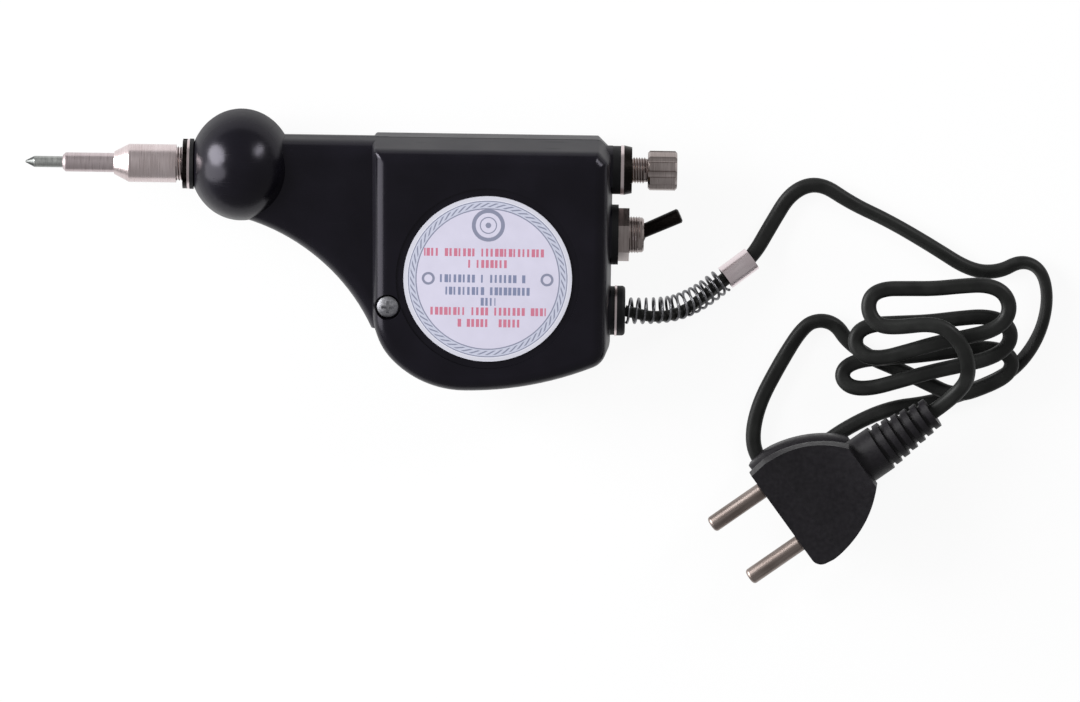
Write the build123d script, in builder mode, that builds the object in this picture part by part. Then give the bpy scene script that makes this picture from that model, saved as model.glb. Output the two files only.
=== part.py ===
"""Electric engraver: a two-half moulded housing with a magnet drive, and its mains cord."""

import os
from math import atan2, cos, degrees, hypot, pi, radians, sin, sqrt, tan

from build123d import *

# Frame: the tool lies on its rear half. +X runs from the needle to the knob, +Z up out of the table.
# Places along the tool are measured from the ball's centre, and across it from the needle's axis.

# Housing, in millimetres
housing_depth = 32.0
wall = 3.0
draft = 5.0
body_front = 36.8
body_length = 69.3
body_rise = 8.7
body_depth = 72.2
body_round = 4.0
corner_chamfer = 3.7
corner_round = 2.0
heel_round = 7.0
flank_round = 20.0
neck_depth = 16.0
neck_round = 5.2
ball_radius = 16.0
ball_flattening_share = 0.92
nose_face = 13.6
nose_wall = 5.0
seam_groove = 0.35
seam_lip = 0.3
cut_overrun = 1.0

# Underside of the body as shares of its length and depth, from the belly to the neck
belly_share = (0.400, 1.0)
flank_share = (0.010, 0.765)
# Underside of the neck as shares of the way from the ball's lowest point to that last point
neck_mid_share = (0.600, 0.355)

# Fits
slide_gap = 0.06
screw_gap = 0.08
seat_gap = 0.1
free_gap = 0.3

# Moving needle bar, from the tip backwards
needle_tip = 61.7
needle_radius = 1.6
needle_point = 2.6
needle_flat_radius = 0.25
needle_socket = 10.0
bar_front = 51.0
bar_radius = 2.75
bar_chamfer = 0.8
collar_radius = 4.2
collar_length = 2.4
stud_radius = 2.2
tail_radius = 2.0

# Guide sleeve on the nose
ring_thickness = 1.1
ring_radius = 7.2
washer_thickness = 0.7
washer_radius = 7.1
locknut_thickness = 1.3
locknut_radius = 7.1
thread_radius = 4.6
thread_shown = 1.9
sleeve_length = 13.5
sleeve_radius = 5.45
cone_length = 4.2
cone_radius = 3.25
sleeve_thread_depth = 7.0
guide_flange_radius = 7.6
guide_flange_length = 3.0
locknut_notches = 6
locknut_notch = 1.0

# Magnet
core_front = 57.5
core_switch_gap = 7.1
core_top = 12.0
core_height_share = 0.701
core_leg = 8.0
core_yoke = 7.5
core_stack = 10.0
core_gap = 2.0
bobbin_front = 1.0
bobbin_wall = 1.0
bobbin_flange = 1.2
bobbin_gap = 0.9
plate_thickness = 4.0
plate_rise = 5.0
plate_width = 11.0
plate_round = 2.0
nut_across = 8.0
nut_thickness = 3.2
core_screw_radius = 1.75
core_screw_head_radius = 3.2
core_screw_head = 2.2
core_screw_bite = 6.5
core_post_radius = 3.6

# Tail guide and return spring
tail_guide_gap = 11.0
tail_guide_length = 7.0
tail_guide_radius = 3.9
tail_flange_radius = 5.4
tail_flange = 1.2
tail_end_gap = 6.5
stop_gap = 2.4
rib_drop = 8.5
spring_wire = 0.7
spring_radius = 3.2
spring_turns = 5

# Stroke adjuster on the back wall
gasket_thickness = 2.3
gasket_radius = 6.9
adjuster_washer_thickness = 0.9
adjuster_washer_radius = 7.1
adjuster_nut_thickness = 2.3
adjuster_nut_radius = 7.1
adjuster_nut_taper = 0.5
adjuster_bush_radius = 5.2
adjuster_flange_radius = 7.0
adjuster_flange = 2.4
adjuster_screw_radius = 3.8
adjuster_tip_radius = 2.4
adjuster_tip_length = 11.0
adjuster_thread_shown = 4.5
knob_length = 8.4
knob_radius = 5.65
knob_flutes = 8
knob_flute_radius = 1.15
knob_flute_depth = 0.75
knob_spigot_radius = 2.5
knob_end_wall = 0.9
knob_chamfer = 0.6

# Toggle switch
switch_drop = 18.8
switch_gasket_thickness = 1.9
switch_gasket_radius = 8.6
switch_nut_thickness = 3.1
switch_nut_across = 13.4
switch_bush_radius = 5.0
switch_bush_bore = 3.65
switch_bush_reach = 9.2
switch_bush_chamfer = 0.5
switch_width = 20.0
switch_height = 15.0
switch_body_depth = 13.0
switch_body_chamfer = 0.8
lever_tilt = 24.5
lever_pivot_reach = 6.6
lever_length = 14.2
lever_root_radius = 1.95
lever_tip_radius = 2.15
lever_edge = 0.4
lever_ball_radius = 3.2
lever_tail = 2.2
lever_tail_radius = 1.1
lever_pin_radius = 0.7
terminal_length = 4.5
terminal_width = 3.0
terminal_thickness = 0.8
terminal_pitch = 6.0

# Cord entry
cord_radius = 2.2
gland_gap = 3.7
gland_heel_gap = 13.2
gland_gasket_thickness = 1.2
gland_gasket_radius = 7.0
gland_washer_thickness = 0.6
gland_washer_radius = 7.3
grommet_flange = 2.4
grommet_radius = 7.15
grommet_round = 1.0
grommet_neck_radius = 4.6
grommet_lip = 1.6
grommet_lip_radius = 6.0
cord_inside = 19.0
clamp_length = 5.0
clamp_back = 5.0
clamp_width = 17.0
clamp_ear = 1.6
clamp_band = 1.4
clamp_screw_spread = 6.0
clamp_screw_radius = 1.2
clamp_head_radius = 2.2
clamp_head = 1.5
clamp_screw_bite = 5.0
lead_radius = 0.5
lead_spread = 0.8
lead_bend = 1.2
lead_height = 8.2

# Housing screws and the round label plate
screw_inset = 5.7
screw_rise = 8.7
hidden_screw_inset = 17.8
hidden_screw_rise = 7.4
screw_radius = 1.5
screw_head_radius = 3.0
screw_head = 1.8
screw_head_dome = 0.6
screw_sink = 3.0
screw_sink_radius = 3.75
recess_width = 0.8
recess_length = 3.6
recess_depth = 1.2
boss_radius = 4.1
housing_nut_across = 5.5
housing_nut_thickness = 2.4
housing_nut_depth = 3.6
label_offset = (-0.55, -1.7)
label_radius = 24.0
label_thickness = 0.5
label_recess = 0.4
label_margin = 2.2

# Free cord, its spring guard and ferrule
bend_share = 0.45
guard_wire = 0.8
guard_radius = 3.45
guard_turns = 14
guard_end = 31.8
ferrule_bore = 3.05
ferrule_radius = 3.55
ferrule_length = 9.4
ferrule_offset = 1.8

lead_join = 6.0
tail_join = 8.1
boot_join = 11.0
small_step = 0.001
gap_samples = 400
gap_skip = 24

# Hank: where the middles of its two ends lie at the first loop, and how far they step each turn
hank_left = (170.4, -69.5)
hank_left_step = (3.4, 11.0)
hank_right = (222.6, -58.5)
hank_right_step = (-0.9, 9.4)
hank_width = 5.2
hank_width_step = 0.8
hank_left_share = 0.1
hank_flat_share = 0.22
hank_base = 5.8
hank_climb = 5.1
hank_roll = 1.2
hank_first_turn = 0.125
hank_quarters = 11

# Plug: its pin face, its direction towards the cord, and its half widths on the way
plug_face = (156.4, -101.2, 14.3)
plug_angle = 36.25
plug_face_width = 34.4
plug_width = 36.2
plug_front_length = 6.0
plug_shoulder = (19.5, 14.6)
plug_neck = (29.0, 7.2)
plug_corner = 4.0
plug_thickness = 19.0
plug_draft = 5.0
plug_round = 4.5
plug_grip_start = 8.5
plug_grip_depth = 1.5
boot_start = 26.0
boot_ribs_start = 35.0
boot_length = 53.0
boot_radius = 7.0
boot_end_radius = 4.7
boot_ribs = 6
boot_groove = 0.8
boot_rib_share = 0.6
pin_radius = 2.4
pin_spacing = 19.0
pin_reach = 18.0
pin_seat = 5.0
pin_round = 1.0
pin_root_radius = 1.9
pin_root_shown = 0.3

# Worked-out places
half_depth = housing_depth / 2
seam_z = half_depth
back_wall = body_front + body_length
knob_front = (back_wall + gasket_thickness + adjuster_washer_thickness + adjuster_nut_thickness
              + adjuster_thread_shown)
lever_reach = (back_wall + lever_pivot_reach + lever_length * cos(radians(lever_tilt))
               + lever_tip_radius * sin(radians(lever_tilt)))
back_reach = max(knob_front + knob_length, lever_reach)
ball_x = (needle_tip - back_reach) / 2
needle_y = (body_depth - body_rise - ball_radius) / 2
gland_drop = switch_drop + switch_width / 2 + clamp_width / 2 + gland_gap

seam = Plane(origin=(ball_x, needle_y, seam_z), x_dir=(1, 0, 0), z_dir=(0, 0, 1))
pieces = []


def line_plane(drop):
    """The seam plane moved down the tool, so that its x axis is the axis of a turned piece."""
    return Plane(origin=(ball_x, needle_y - drop, seam_z), x_dir=(1, 0, 0), z_dir=(0, 0, 1))


def across_plane(drop, along):
    """A plane square to such an axis, a given way along it."""
    return Plane(origin=(ball_x + along, needle_y - drop, seam_z), x_dir=(0, 1, 0), z_dir=(1, 0, 0))


def turned(drop, outline):
    """A turned piece: an outline of (along, radius) points spun round its axis."""
    plane = line_plane(drop)
    with BuildPart() as piece:
        with BuildSketch(plane):
            with BuildLine():
                Polyline(*outline, close=True)
            make_face()
        revolve(axis=Axis(plane.origin, (1, 0, 0)))
    return piece


def washer(drop, start, thickness, outer, inner):
    """A plain flat ring on such an axis."""
    end = start + thickness
    return turned(drop, [(start, inner), (end, inner), (end, outer), (start, outer)])


def keep(piece, name):
    """Label a finished piece and add it to the list that is written out."""
    piece.part.label = name
    pieces.append(piece)


def under(share):
    """A point of the body's underside from its shares of the length and depth."""
    return (body_front + share[0] * body_length, body_rise - share[1] * body_depth)


def ball_section(shrink, front):
    """Upper half of the ball's section, cut off flat at the front."""
    radius = ball_radius - shrink
    length = ball_flattening_share * ball_radius - shrink
    front_radius = radius * sqrt(1 - (front / length) ** 2)
    start = degrees(atan2(front_radius / radius, -front / length))
    with BuildSketch() as section:
        with BuildLine():
            EllipticalCenterArc((0, 0), length, radius, start_angle=0, arc_size=start)
            Polyline((-front, front_radius), (-front, 0), (length, 0))
        make_face()
    return section.sketch


def on_table(x, y, z):
    """A point of the cord, from the ball's centre and the needle's axis, z up from the table."""
    return Vector(ball_x + x, needle_y + y, z)


def cord_route(points, name):
    """Straight runs joined by arcs as large as the runs allow."""
    radii = []
    for before, corner, after in zip(points, points[1:], points[2:]):
        half_turn = radians((corner - before).get_angle(after - corner)) / 2
        run = min((corner - before).length, (after - corner).length)
        radii.append(bend_share * run / tan(half_turn))
    print(name, "radii", [round(radius, 1) for radius in radii])
    with BuildLine() as line:
        FilletPolyline(*points, radius=radii)
    return line.wire()


def biarcs(points, directions):
    """Pairs of tangent arcs through points with given directions, straight at both ends."""
    with BuildLine() as line:
        for start, end, leave, arrive in zip(points, points[1:], directions, directions[1:]):
            chord = start - end
            square = 2 * (leave.dot(arrive) - 1)
            linear = 2 * chord.dot(leave + arrive)
            reach = (-linear - sqrt(linear ** 2 - 4 * square * chord.dot(chord))) / (2 * square)
            start_corner = start + leave * reach
            end_corner = end - arrive * reach
            joint = (start_corner + end_corner) / 2
            TangentArc(start, joint, tangent=leave)
            TangentArc(joint, end, tangent=(end_corner - start_corner).normalized())
    return line.wire()


def tube(line, radius, name):
    """A round tube along a line, its volume printed beside its section times its length."""
    with BuildPart() as piece:
        with BuildSketch(Plane(origin=line @ 0, z_dir=line % 0)):
            Circle(radius)
        sweep(path=line)
    print(name, "volume", round(piece.part.volume), "of", round(pi * radius ** 2 * line.length),
          "length", round(line.length, 1))
    return piece


# Outline of the wide body, seen from the front
corner_x = back_wall - corner_chamfer
heel = (back_wall, -gland_drop - gland_heel_gap)
flank = under(flank_share)
with BuildSketch() as body_outline:
    with BuildLine():
        TangentArc(under(belly_share), heel, tangent=(1, 0))
        Polyline(
            heel,
            (back_wall, body_rise - corner_chamfer),
            (corner_x, body_rise),
            (body_front, body_rise),
            flank,
        )
        TangentArc(under(belly_share), flank, tangent=(-1, 0))
    make_face()
    fillet(body_outline.vertices().sort_by(Axis.Y)[-3:], corner_round)
    fillet(body_outline.vertices().sort_by_distance(heel)[0], heel_round)
    fillet(body_outline.vertices().sort_by_distance(flank)[0], flank_round)

# Outline of the flat neck, from inside the ball to just inside the body
neck_start = (0, -ball_radius + cut_overrun)
neck_mid = (neck_mid_share[0] * flank[0],
            -ball_radius + neck_mid_share[1] * (flank[1] + ball_radius))
neck_end_x = flank[0] + 2 * wall
with BuildSketch() as neck_outline:
    with BuildLine():
        ThreePointArc(neck_start, neck_mid, flank)
        Polyline(flank, (neck_end_x, flank[1]), (neck_end_x, body_rise), (0, body_rise),
                 neck_start)
    make_face()

# Places along the needle's axis, behind the ball's centre
needle_axis = Axis(seam.origin, (1, 0, 0))
plate_front = core_front - core_gap - plate_thickness
nut_back = plate_front + plate_thickness + nut_thickness
tail_guide_front = nut_back + tail_guide_gap
tail_guide_back = tail_guide_front + tail_guide_length
tail_end = tail_guide_back + tail_end_gap
core_back = back_wall - wall - switch_body_depth - core_switch_gap
core_length = core_back - core_front
core_height = core_height_share * (body_depth - body_rise - core_top - wall)
bobbin_start = core_front + bobbin_front
bobbin_end = core_back - core_yoke - seat_gap
lower_leg = core_top + core_height - core_leg / 2
core_screw_x = core_back - core_yoke / 2
core_screw_places = [(core_screw_x, -core_top - core_leg / 2), (core_screw_x, -lower_leg)]
clamp_start = back_wall - wall - clamp_back - clamp_length
clamp_middle = clamp_start + clamp_length / 2
cord_hole = cord_radius + slide_gap

# Housing: one moulding drawn once, as the half above the seam
switch_corner_radius = hypot(switch_width, switch_height) / 2
fittings = {
    0: (gasket_radius, adjuster_bush_radius, adjuster_flange_radius),
    switch_drop: (switch_gasket_radius, switch_bush_radius, switch_corner_radius),
    gland_drop: (gland_gasket_radius, grommet_neck_radius, grommet_lip_radius),
}
boss_places = [
    (body_front + screw_inset, flank[1] + screw_rise),
    (back_wall - hidden_screw_inset, -gland_drop + hidden_screw_rise),
]
label_middle = (body_front + body_length / 2 + label_offset[0],
                body_rise - body_depth / 2 + label_offset[1])
inner_depth = half_depth - wall

with BuildPart() as body_block:
    with BuildSketch(seam):
        add(body_outline.sketch)
    extrude(amount=half_depth, taper=draft)
    fillet(body_block.faces().sort_by(Axis.Z)[-1].edges(), body_round)

with BuildPart() as neck_block:
    with BuildSketch(seam):
        add(neck_outline.sketch)
    extrude(amount=neck_depth / 2, taper=draft)
    neck_rim = neck_block.faces().sort_by(Axis.Z)[-1].edges().filter_by(Axis.Y, reverse=True)
    fillet(neck_rim.sort_by(SortBy.LENGTH)[-2:], neck_round)

with BuildPart() as half_housing:
    add(body_block.part)
    add(neck_block.part)
    with BuildSketch(seam):
        add(ball_section(0, nose_face))
    revolve(axis=needle_axis, revolution_arc=180)
    # Flat pads on the sloping back wall, one under each fitting
    for drop, (pad_radius, hole_radius, seat_radius) in fittings.items():
        with BuildSketch(across_plane(drop, back_wall - wall)):
            Circle(pad_radius + seat_gap)
            with Locations((0, -half_depth)):
                Rectangle(housing_depth, housing_depth, mode=Mode.SUBTRACT)
        extrude(amount=wall)
    # Hollows of the body, the neck and the ball
    with BuildSketch(seam):
        add(body_outline.sketch)
        offset(amount=-wall, kind=Kind.INTERSECTION)
    extrude(amount=inner_depth, taper=draft, mode=Mode.SUBTRACT)
    with BuildSketch(seam):
        add(neck_outline.sketch)
        offset(amount=-wall, kind=Kind.INTERSECTION)
    extrude(amount=neck_depth / 2 - wall, mode=Mode.SUBTRACT)
    with BuildSketch(seam):
        add(ball_section(wall, nose_face - nose_wall))
    revolve(axis=needle_axis, revolution_arc=180, mode=Mode.SUBTRACT)
    # Screw bosses, and the rib that holds the tail guide
    with BuildSketch(seam):
        with Locations(*boss_places):
            Circle(boss_radius)
    extrude(amount=inner_depth + seat_gap)
    with BuildSketch(seam):
        with Locations((tail_guide_front + tail_flange, -rib_drop)):
            Rectangle(
                tail_guide_length - tail_flange,
                rib_drop + body_rise - wall / 2,
                align=(Align.MIN, Align.MIN),
            )
    extrude(amount=inner_depth + seat_gap)
    # Half holes on the seam
    with BuildSketch(across_plane(0, -nose_face - cut_overrun)):
        Circle(thread_radius + seat_gap)
    extrude(amount=nose_wall + 2 * cut_overrun, mode=Mode.SUBTRACT)
    with BuildSketch(across_plane(0, tail_guide_front)):
        Circle(tail_guide_radius + seat_gap)
    extrude(amount=tail_guide_length + cut_overrun, mode=Mode.SUBTRACT)
    # Flat seats inside the back wall, and the holes through it
    for drop, (pad_radius, hole_radius, seat_radius) in fittings.items():
        with BuildSketch(across_plane(drop, back_wall - 2 * wall)):
            Circle(seat_radius + seat_gap)
        extrude(amount=wall, mode=Mode.SUBTRACT)
        with BuildSketch(across_plane(drop, back_wall - 2 * wall)):
            Circle(hole_radius + seat_gap)
        extrude(amount=2 * wall + cut_overrun, mode=Mode.SUBTRACT)
    # Through holes of the housing screws
    with BuildSketch(seam):
        with Locations(*boss_places):
            Circle(screw_radius + seat_gap)
    extrude(amount=half_depth, mode=Mode.SUBTRACT)

with BuildPart() as housing_front:
    add(half_housing.part)
    with BuildSketch(seam.offset(half_depth - screw_sink)):
        with Locations(*boss_places):
            Circle(screw_sink_radius)
    extrude(amount=screw_sink, mode=Mode.SUBTRACT)
    with BuildSketch(seam.offset(half_depth - label_recess)):
        with Locations(label_middle):
            Circle(label_radius + label_margin)
    extrude(amount=label_recess, mode=Mode.SUBTRACT)
    # Fine groove along the outside of the seam
    with BuildSketch(seam):
        add(body_outline.sketch)
        offset(amount=-seam_groove, mode=Mode.SUBTRACT)
    extrude(amount=seam_lip, mode=Mode.SUBTRACT)
keep(housing_front, "housing_front")

with BuildPart() as housing_rear:
    mirror(half_housing.part, about=seam)
    with BuildSketch(seam.offset(-half_depth)):
        with Locations(*boss_places):
            RegularPolygon(housing_nut_across / 2 + seat_gap, 6, major_radius=False)
    extrude(amount=housing_nut_depth, mode=Mode.SUBTRACT)
    # Posts under the magnet core, and the saddle block under the cord
    with BuildSketch(seam.offset(-core_stack / 2)):
        with Locations(*core_screw_places):
            Circle(core_post_radius)
    extrude(amount=core_stack / 2 - inner_depth - seat_gap)
    with BuildSketch(seam.offset(-clamp_ear / 2)):
        with Locations((clamp_middle, -gland_drop)):
            Rectangle(clamp_length, clamp_width)
    extrude(amount=clamp_ear / 2 - inner_depth - seat_gap)
    with BuildSketch(across_plane(gland_drop, clamp_start)):
        Circle(cord_hole)
    extrude(amount=clamp_length, mode=Mode.SUBTRACT)
    with BuildSketch(seam.offset(-core_stack / 2)):
        with Locations(*core_screw_places):
            Circle(core_screw_radius + screw_gap)
    extrude(amount=-core_screw_bite - free_gap, mode=Mode.SUBTRACT)
    with BuildSketch(seam.offset(-clamp_ear / 2)):
        with Locations((clamp_middle, -gland_drop)):
            with GridLocations(0, 2 * clamp_screw_spread, 1, 2):
                Circle(clamp_screw_radius + screw_gap)
    extrude(amount=-clamp_screw_bite - free_gap, mode=Mode.SUBTRACT)
keep(housing_rear, "housing_rear")

# Needle bar: everything on this axis from here to the tail guide slides
with BuildPart() as needle:
    add(turned(0, [
        (-needle_tip, 0),
        (-needle_tip, needle_flat_radius),
        (-needle_tip + needle_point, needle_radius),
        (-bar_front + needle_socket, needle_radius),
        (-bar_front + needle_socket, 0),
    ]).part)
keep(needle, "needle")

guide_flange_front = -nose_face + nose_wall
guide_flange_back = guide_flange_front + guide_flange_length
collar_front = guide_flange_back + free_gap
socket_radius = needle_radius + seat_gap
needle_bar = turned(0, [
    (-bar_front, socket_radius),
    (-bar_front, bar_radius - bar_chamfer),
    (-bar_front + bar_chamfer, bar_radius),
    (collar_front, bar_radius),
    (collar_front, collar_radius),
    (collar_front + collar_length, collar_radius),
    (collar_front + collar_length, bar_radius),
    (plate_front, bar_radius),
    (plate_front, stud_radius),
    (nut_back, stud_radius),
    (nut_back, tail_radius),
    (tail_end, tail_radius),
    (tail_end, 0),
    (-bar_front + needle_socket, 0),
    (-bar_front + needle_socket, socket_radius),
])
keep(needle_bar, "needle_bar")

# Armature plate on the bar's shoulder, and its nut
plate_drop = core_top + core_height + plate_rise
with BuildPart() as armature_plate:
    with BuildSketch(across_plane(0, plate_front)):
        with Locations((plate_rise - plate_drop / 2, 0)):
            RectangleRounded(plate_drop, plate_width, plate_round)
        Circle(stud_radius + screw_gap, mode=Mode.SUBTRACT)
    extrude(amount=plate_thickness)
keep(armature_plate, "armature_plate")

with BuildPart() as armature_nut:
    with BuildSketch(across_plane(0, plate_front + plate_thickness)):
        RegularPolygon(nut_across / 2, 6, major_radius=False)
        Circle(stud_radius + screw_gap, mode=Mode.SUBTRACT)
    extrude(amount=nut_thickness)
keep(armature_nut, "armature_nut")

# Guide on the nose: bush from inside, then ring, washer, notched nut and long sleeve
bar_bore = bar_radius + slide_gap
thread_bore = thread_radius + screw_gap
ring_front = -nose_face - ring_thickness
nose_washer_front = ring_front - washer_thickness
locknut_front = nose_washer_front - locknut_thickness
sleeve_back = locknut_front - thread_shown
sleeve_front = sleeve_back - sleeve_length
thread_front = sleeve_back - sleeve_thread_depth
keep(turned(0, [
    (thread_front + free_gap, bar_bore),
    (guide_flange_back, bar_bore),
    (guide_flange_back, guide_flange_radius),
    (guide_flange_front, guide_flange_radius),
    (guide_flange_front, thread_radius),
    (thread_front + free_gap, thread_radius),
]), "guide_bush")
keep(washer(0, ring_front, ring_thickness, ring_radius, thread_bore), "nose_ring")
keep(washer(0, nose_washer_front, washer_thickness, washer_radius, thread_bore), "nose_washer")
keep(turned(0, [
    (thread_front, bar_bore),
    (sleeve_front - cone_length, bar_bore),
    (sleeve_front - cone_length, cone_radius),
    (sleeve_front, sleeve_radius),
    (sleeve_back, sleeve_radius),
    (sleeve_back, thread_bore),
    (thread_front, thread_bore),
]), "guide_sleeve")

with BuildPart() as guide_locknut:
    with BuildSketch(across_plane(0, locknut_front)):
        Circle(locknut_radius)
        Circle(thread_bore, mode=Mode.SUBTRACT)
        with PolarLocations(locknut_radius, locknut_notches):
            Rectangle(2 * locknut_notch, locknut_notch * 2, mode=Mode.SUBTRACT)
    extrude(amount=locknut_thickness)
keep(guide_locknut, "guide_locknut")

# Tail guide in its rib, and the return spring between it and the nut
keep(turned(0, [
    (tail_guide_front, tail_radius + slide_gap),
    (tail_guide_back, tail_radius + slide_gap),
    (tail_guide_back, tail_guide_radius),
    (tail_guide_front + tail_flange, tail_guide_radius),
    (tail_guide_front + tail_flange, tail_flange_radius),
    (tail_guide_front, tail_flange_radius),
]), "tail_guide")

spring_start = nut_back + free_gap + spring_wire / 2
spring_length = tail_guide_gap - 2 * free_gap - spring_wire
with BuildPart() as return_spring:
    with BuildLine():
        spring_line = Helix(
            pitch=spring_length / spring_turns,
            height=spring_length,
            radius=spring_radius,
            center=across_plane(0, spring_start).origin,
            direction=(1, 0, 0),
        )
    with BuildSketch(Plane(origin=spring_line @ 0, z_dir=spring_line % 0)):
        Circle(spring_wire / 2)
    sweep(path=spring_line, is_frenet=True)
keep(return_spring, "return_spring")

# Magnet: a U of stacked plates with a wound bobbin on its lower leg
with BuildPart() as core_stack_block:
    with BuildSketch(seam.offset(-core_stack / 2)):
        with Locations((core_front, -core_top)):
            Rectangle(core_length, core_height, align=(Align.MIN, Align.MAX))
        with Locations((core_front, -core_top - core_leg)):
            Rectangle(
                core_length - core_yoke,
                core_height - 2 * core_leg,
                align=(Align.MIN, Align.MAX),
                mode=Mode.SUBTRACT,
            )
        with Locations(*core_screw_places):
            Circle(core_screw_radius + screw_gap, mode=Mode.SUBTRACT)
    extrude(amount=core_stack)
keep(core_stack_block, "core_stack")

tube_width = core_leg + 2 * (seat_gap + bobbin_wall)
tube_height = core_stack + 2 * (seat_gap + bobbin_wall)
winding_depth = inner_depth - tube_height / 2 - bobbin_gap
bobbin_length = bobbin_end - bobbin_start
with BuildPart() as bobbin:
    with BuildSketch(across_plane(lower_leg, bobbin_start)):
        Rectangle(tube_width, tube_height)
    extrude(amount=bobbin_length)
    with BuildSketch(across_plane(lower_leg, bobbin_start),
                     across_plane(lower_leg, bobbin_end - bobbin_flange)):
        RectangleRounded(tube_width + 2 * winding_depth, tube_height + 2 * winding_depth,
                         plate_round)
    extrude(amount=bobbin_flange)
    with BuildSketch(across_plane(lower_leg, bobbin_start)):
        Rectangle(core_leg + 2 * seat_gap, core_stack + 2 * seat_gap)
    extrude(amount=bobbin_length, mode=Mode.SUBTRACT)
keep(bobbin, "bobbin")

winding_width = tube_width + 2 * (winding_depth - free_gap)
winding_height = tube_height + 2 * (winding_depth - free_gap)
with BuildPart() as coil_winding:
    with BuildSketch(across_plane(lower_leg, bobbin_start + bobbin_flange)):
        RectangleRounded(winding_width, winding_height, winding_depth - free_gap)
        Rectangle(tube_width, tube_height, mode=Mode.SUBTRACT)
    extrude(amount=bobbin_length - 2 * bobbin_flange)
keep(coil_winding, "coil_winding")

with BuildPart() as core_screws:
    with BuildSketch(seam.offset(core_stack / 2)):
        with Locations(*core_screw_places):
            Circle(core_screw_head_radius)
    extrude(amount=core_screw_head)
    with BuildSketch(seam.offset(core_stack / 2)):
        with Locations(*core_screw_places):
            Circle(core_screw_radius)
    extrude(amount=-core_stack - core_screw_bite)
keep(core_screws, "core_screws")

# Stroke adjuster: bush through the back wall, its nut outside, and the screw with its knob
inner_wall = back_wall - wall
adjuster_washer_start = back_wall + gasket_thickness
adjuster_nut_start = adjuster_washer_start + adjuster_washer_thickness
adjuster_bush_end = adjuster_nut_start + adjuster_nut_thickness
adjuster_bore = adjuster_screw_radius + slide_gap
adjuster_bush_bore = adjuster_bush_radius + screw_gap
screw_tip_front = tail_end + stop_gap
spigot_end = knob_front + knob_length - knob_end_wall - free_gap
keep(turned(0, [
    (inner_wall - adjuster_flange, adjuster_bore),
    (adjuster_bush_end, adjuster_bore),
    (adjuster_bush_end, adjuster_bush_radius),
    (inner_wall, adjuster_bush_radius),
    (inner_wall, adjuster_flange_radius),
    (inner_wall - adjuster_flange, adjuster_flange_radius),
]), "adjuster_bush")
keep(washer(0, back_wall, gasket_thickness, gasket_radius, adjuster_bush_bore), "adjuster_gasket")
keep(washer(0, adjuster_washer_start, adjuster_washer_thickness, adjuster_washer_radius,
            adjuster_bush_bore), "adjuster_washer")
keep(turned(0, [
    (adjuster_nut_start, adjuster_bush_bore),
    (adjuster_bush_end, adjuster_bush_bore),
    (adjuster_bush_end, adjuster_nut_radius - adjuster_nut_taper),
    (adjuster_nut_start, adjuster_nut_radius),
]), "adjuster_nut")
keep(turned(0, [
    (screw_tip_front, 0),
    (screw_tip_front, adjuster_tip_radius),
    (screw_tip_front + adjuster_tip_length, adjuster_tip_radius),
    (screw_tip_front + adjuster_tip_length, adjuster_screw_radius),
    (knob_front, adjuster_screw_radius),
    (knob_front, knob_spigot_radius),
    (spigot_end, knob_spigot_radius),
    (spigot_end, 0),
]), "adjuster_screw")

with BuildPart() as adjuster_knob:
    add(turned(0, [
        (knob_front + slide_gap, knob_spigot_radius + slide_gap),
        (knob_front + slide_gap, knob_radius - knob_chamfer),
        (knob_front + slide_gap + knob_chamfer, knob_radius),
        (knob_front + knob_length - knob_chamfer, knob_radius),
        (knob_front + knob_length, knob_radius - knob_chamfer),
        (knob_front + knob_length, 0),
        (knob_front + knob_length - knob_end_wall, 0),
        (knob_front + knob_length - knob_end_wall, knob_spigot_radius + slide_gap),
    ]).part)
    with BuildSketch(across_plane(0, knob_front)):
        with PolarLocations(knob_radius - knob_flute_depth + knob_flute_radius, knob_flutes):
            Circle(knob_flute_radius)
    extrude(amount=knob_length, mode=Mode.SUBTRACT)
keep(adjuster_knob, "adjuster_knob")

# Toggle switch: body behind the wall, threaded bush through it, nut and lever outside
switch_nut_start = back_wall + switch_gasket_thickness
pivot_along = back_wall + lever_pivot_reach
pivot = across_plane(switch_drop, pivot_along).origin
switch_bush_end = back_wall + switch_bush_reach
switch_body_front = inner_wall - switch_body_depth
terminal_drops = (switch_drop - terminal_pitch / 2, switch_drop + terminal_pitch / 2)

with BuildPart() as switch_body:
    with BuildSketch(across_plane(switch_drop, switch_body_front)):
        Rectangle(switch_width, switch_height)
    extrude(amount=switch_body_depth)
    chamfer(switch_body.edges().filter_by(Axis.X), switch_body_chamfer)
keep(switch_body, "switch_body")

with BuildPart() as switch_terminals:
    for drop in terminal_drops:
        with BuildSketch(across_plane(drop, switch_body_front)):
            Rectangle(terminal_thickness, terminal_width)
        extrude(amount=-terminal_length)
keep(switch_terminals, "switch_terminals")

keep(washer(switch_drop, back_wall, switch_gasket_thickness, switch_gasket_radius,
            switch_bush_radius + screw_gap), "switch_gasket")

with BuildPart() as switch_nut:
    with BuildSketch(across_plane(switch_drop, switch_nut_start)):
        RegularPolygon(switch_nut_across / 2, 6, major_radius=False)
        Circle(switch_bush_radius + screw_gap, mode=Mode.SUBTRACT)
    extrude(amount=switch_nut_thickness)
keep(switch_nut, "switch_nut")

with BuildPart() as switch_bush:
    add(turned(switch_drop, [
        (inner_wall, 0),
        (back_wall, 0),
        (back_wall, switch_bush_bore),
        (switch_bush_end, switch_bush_bore),
        (switch_bush_end, switch_bush_radius - switch_bush_chamfer),
        (switch_bush_end - switch_bush_chamfer, switch_bush_radius),
        (inner_wall, switch_bush_radius),
    ]).part)
    with Locations(pivot):
        Cylinder(lever_pin_radius, 2 * switch_bush_radius, mode=Mode.SUBTRACT)
keep(switch_bush, "switch_bush")

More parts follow.
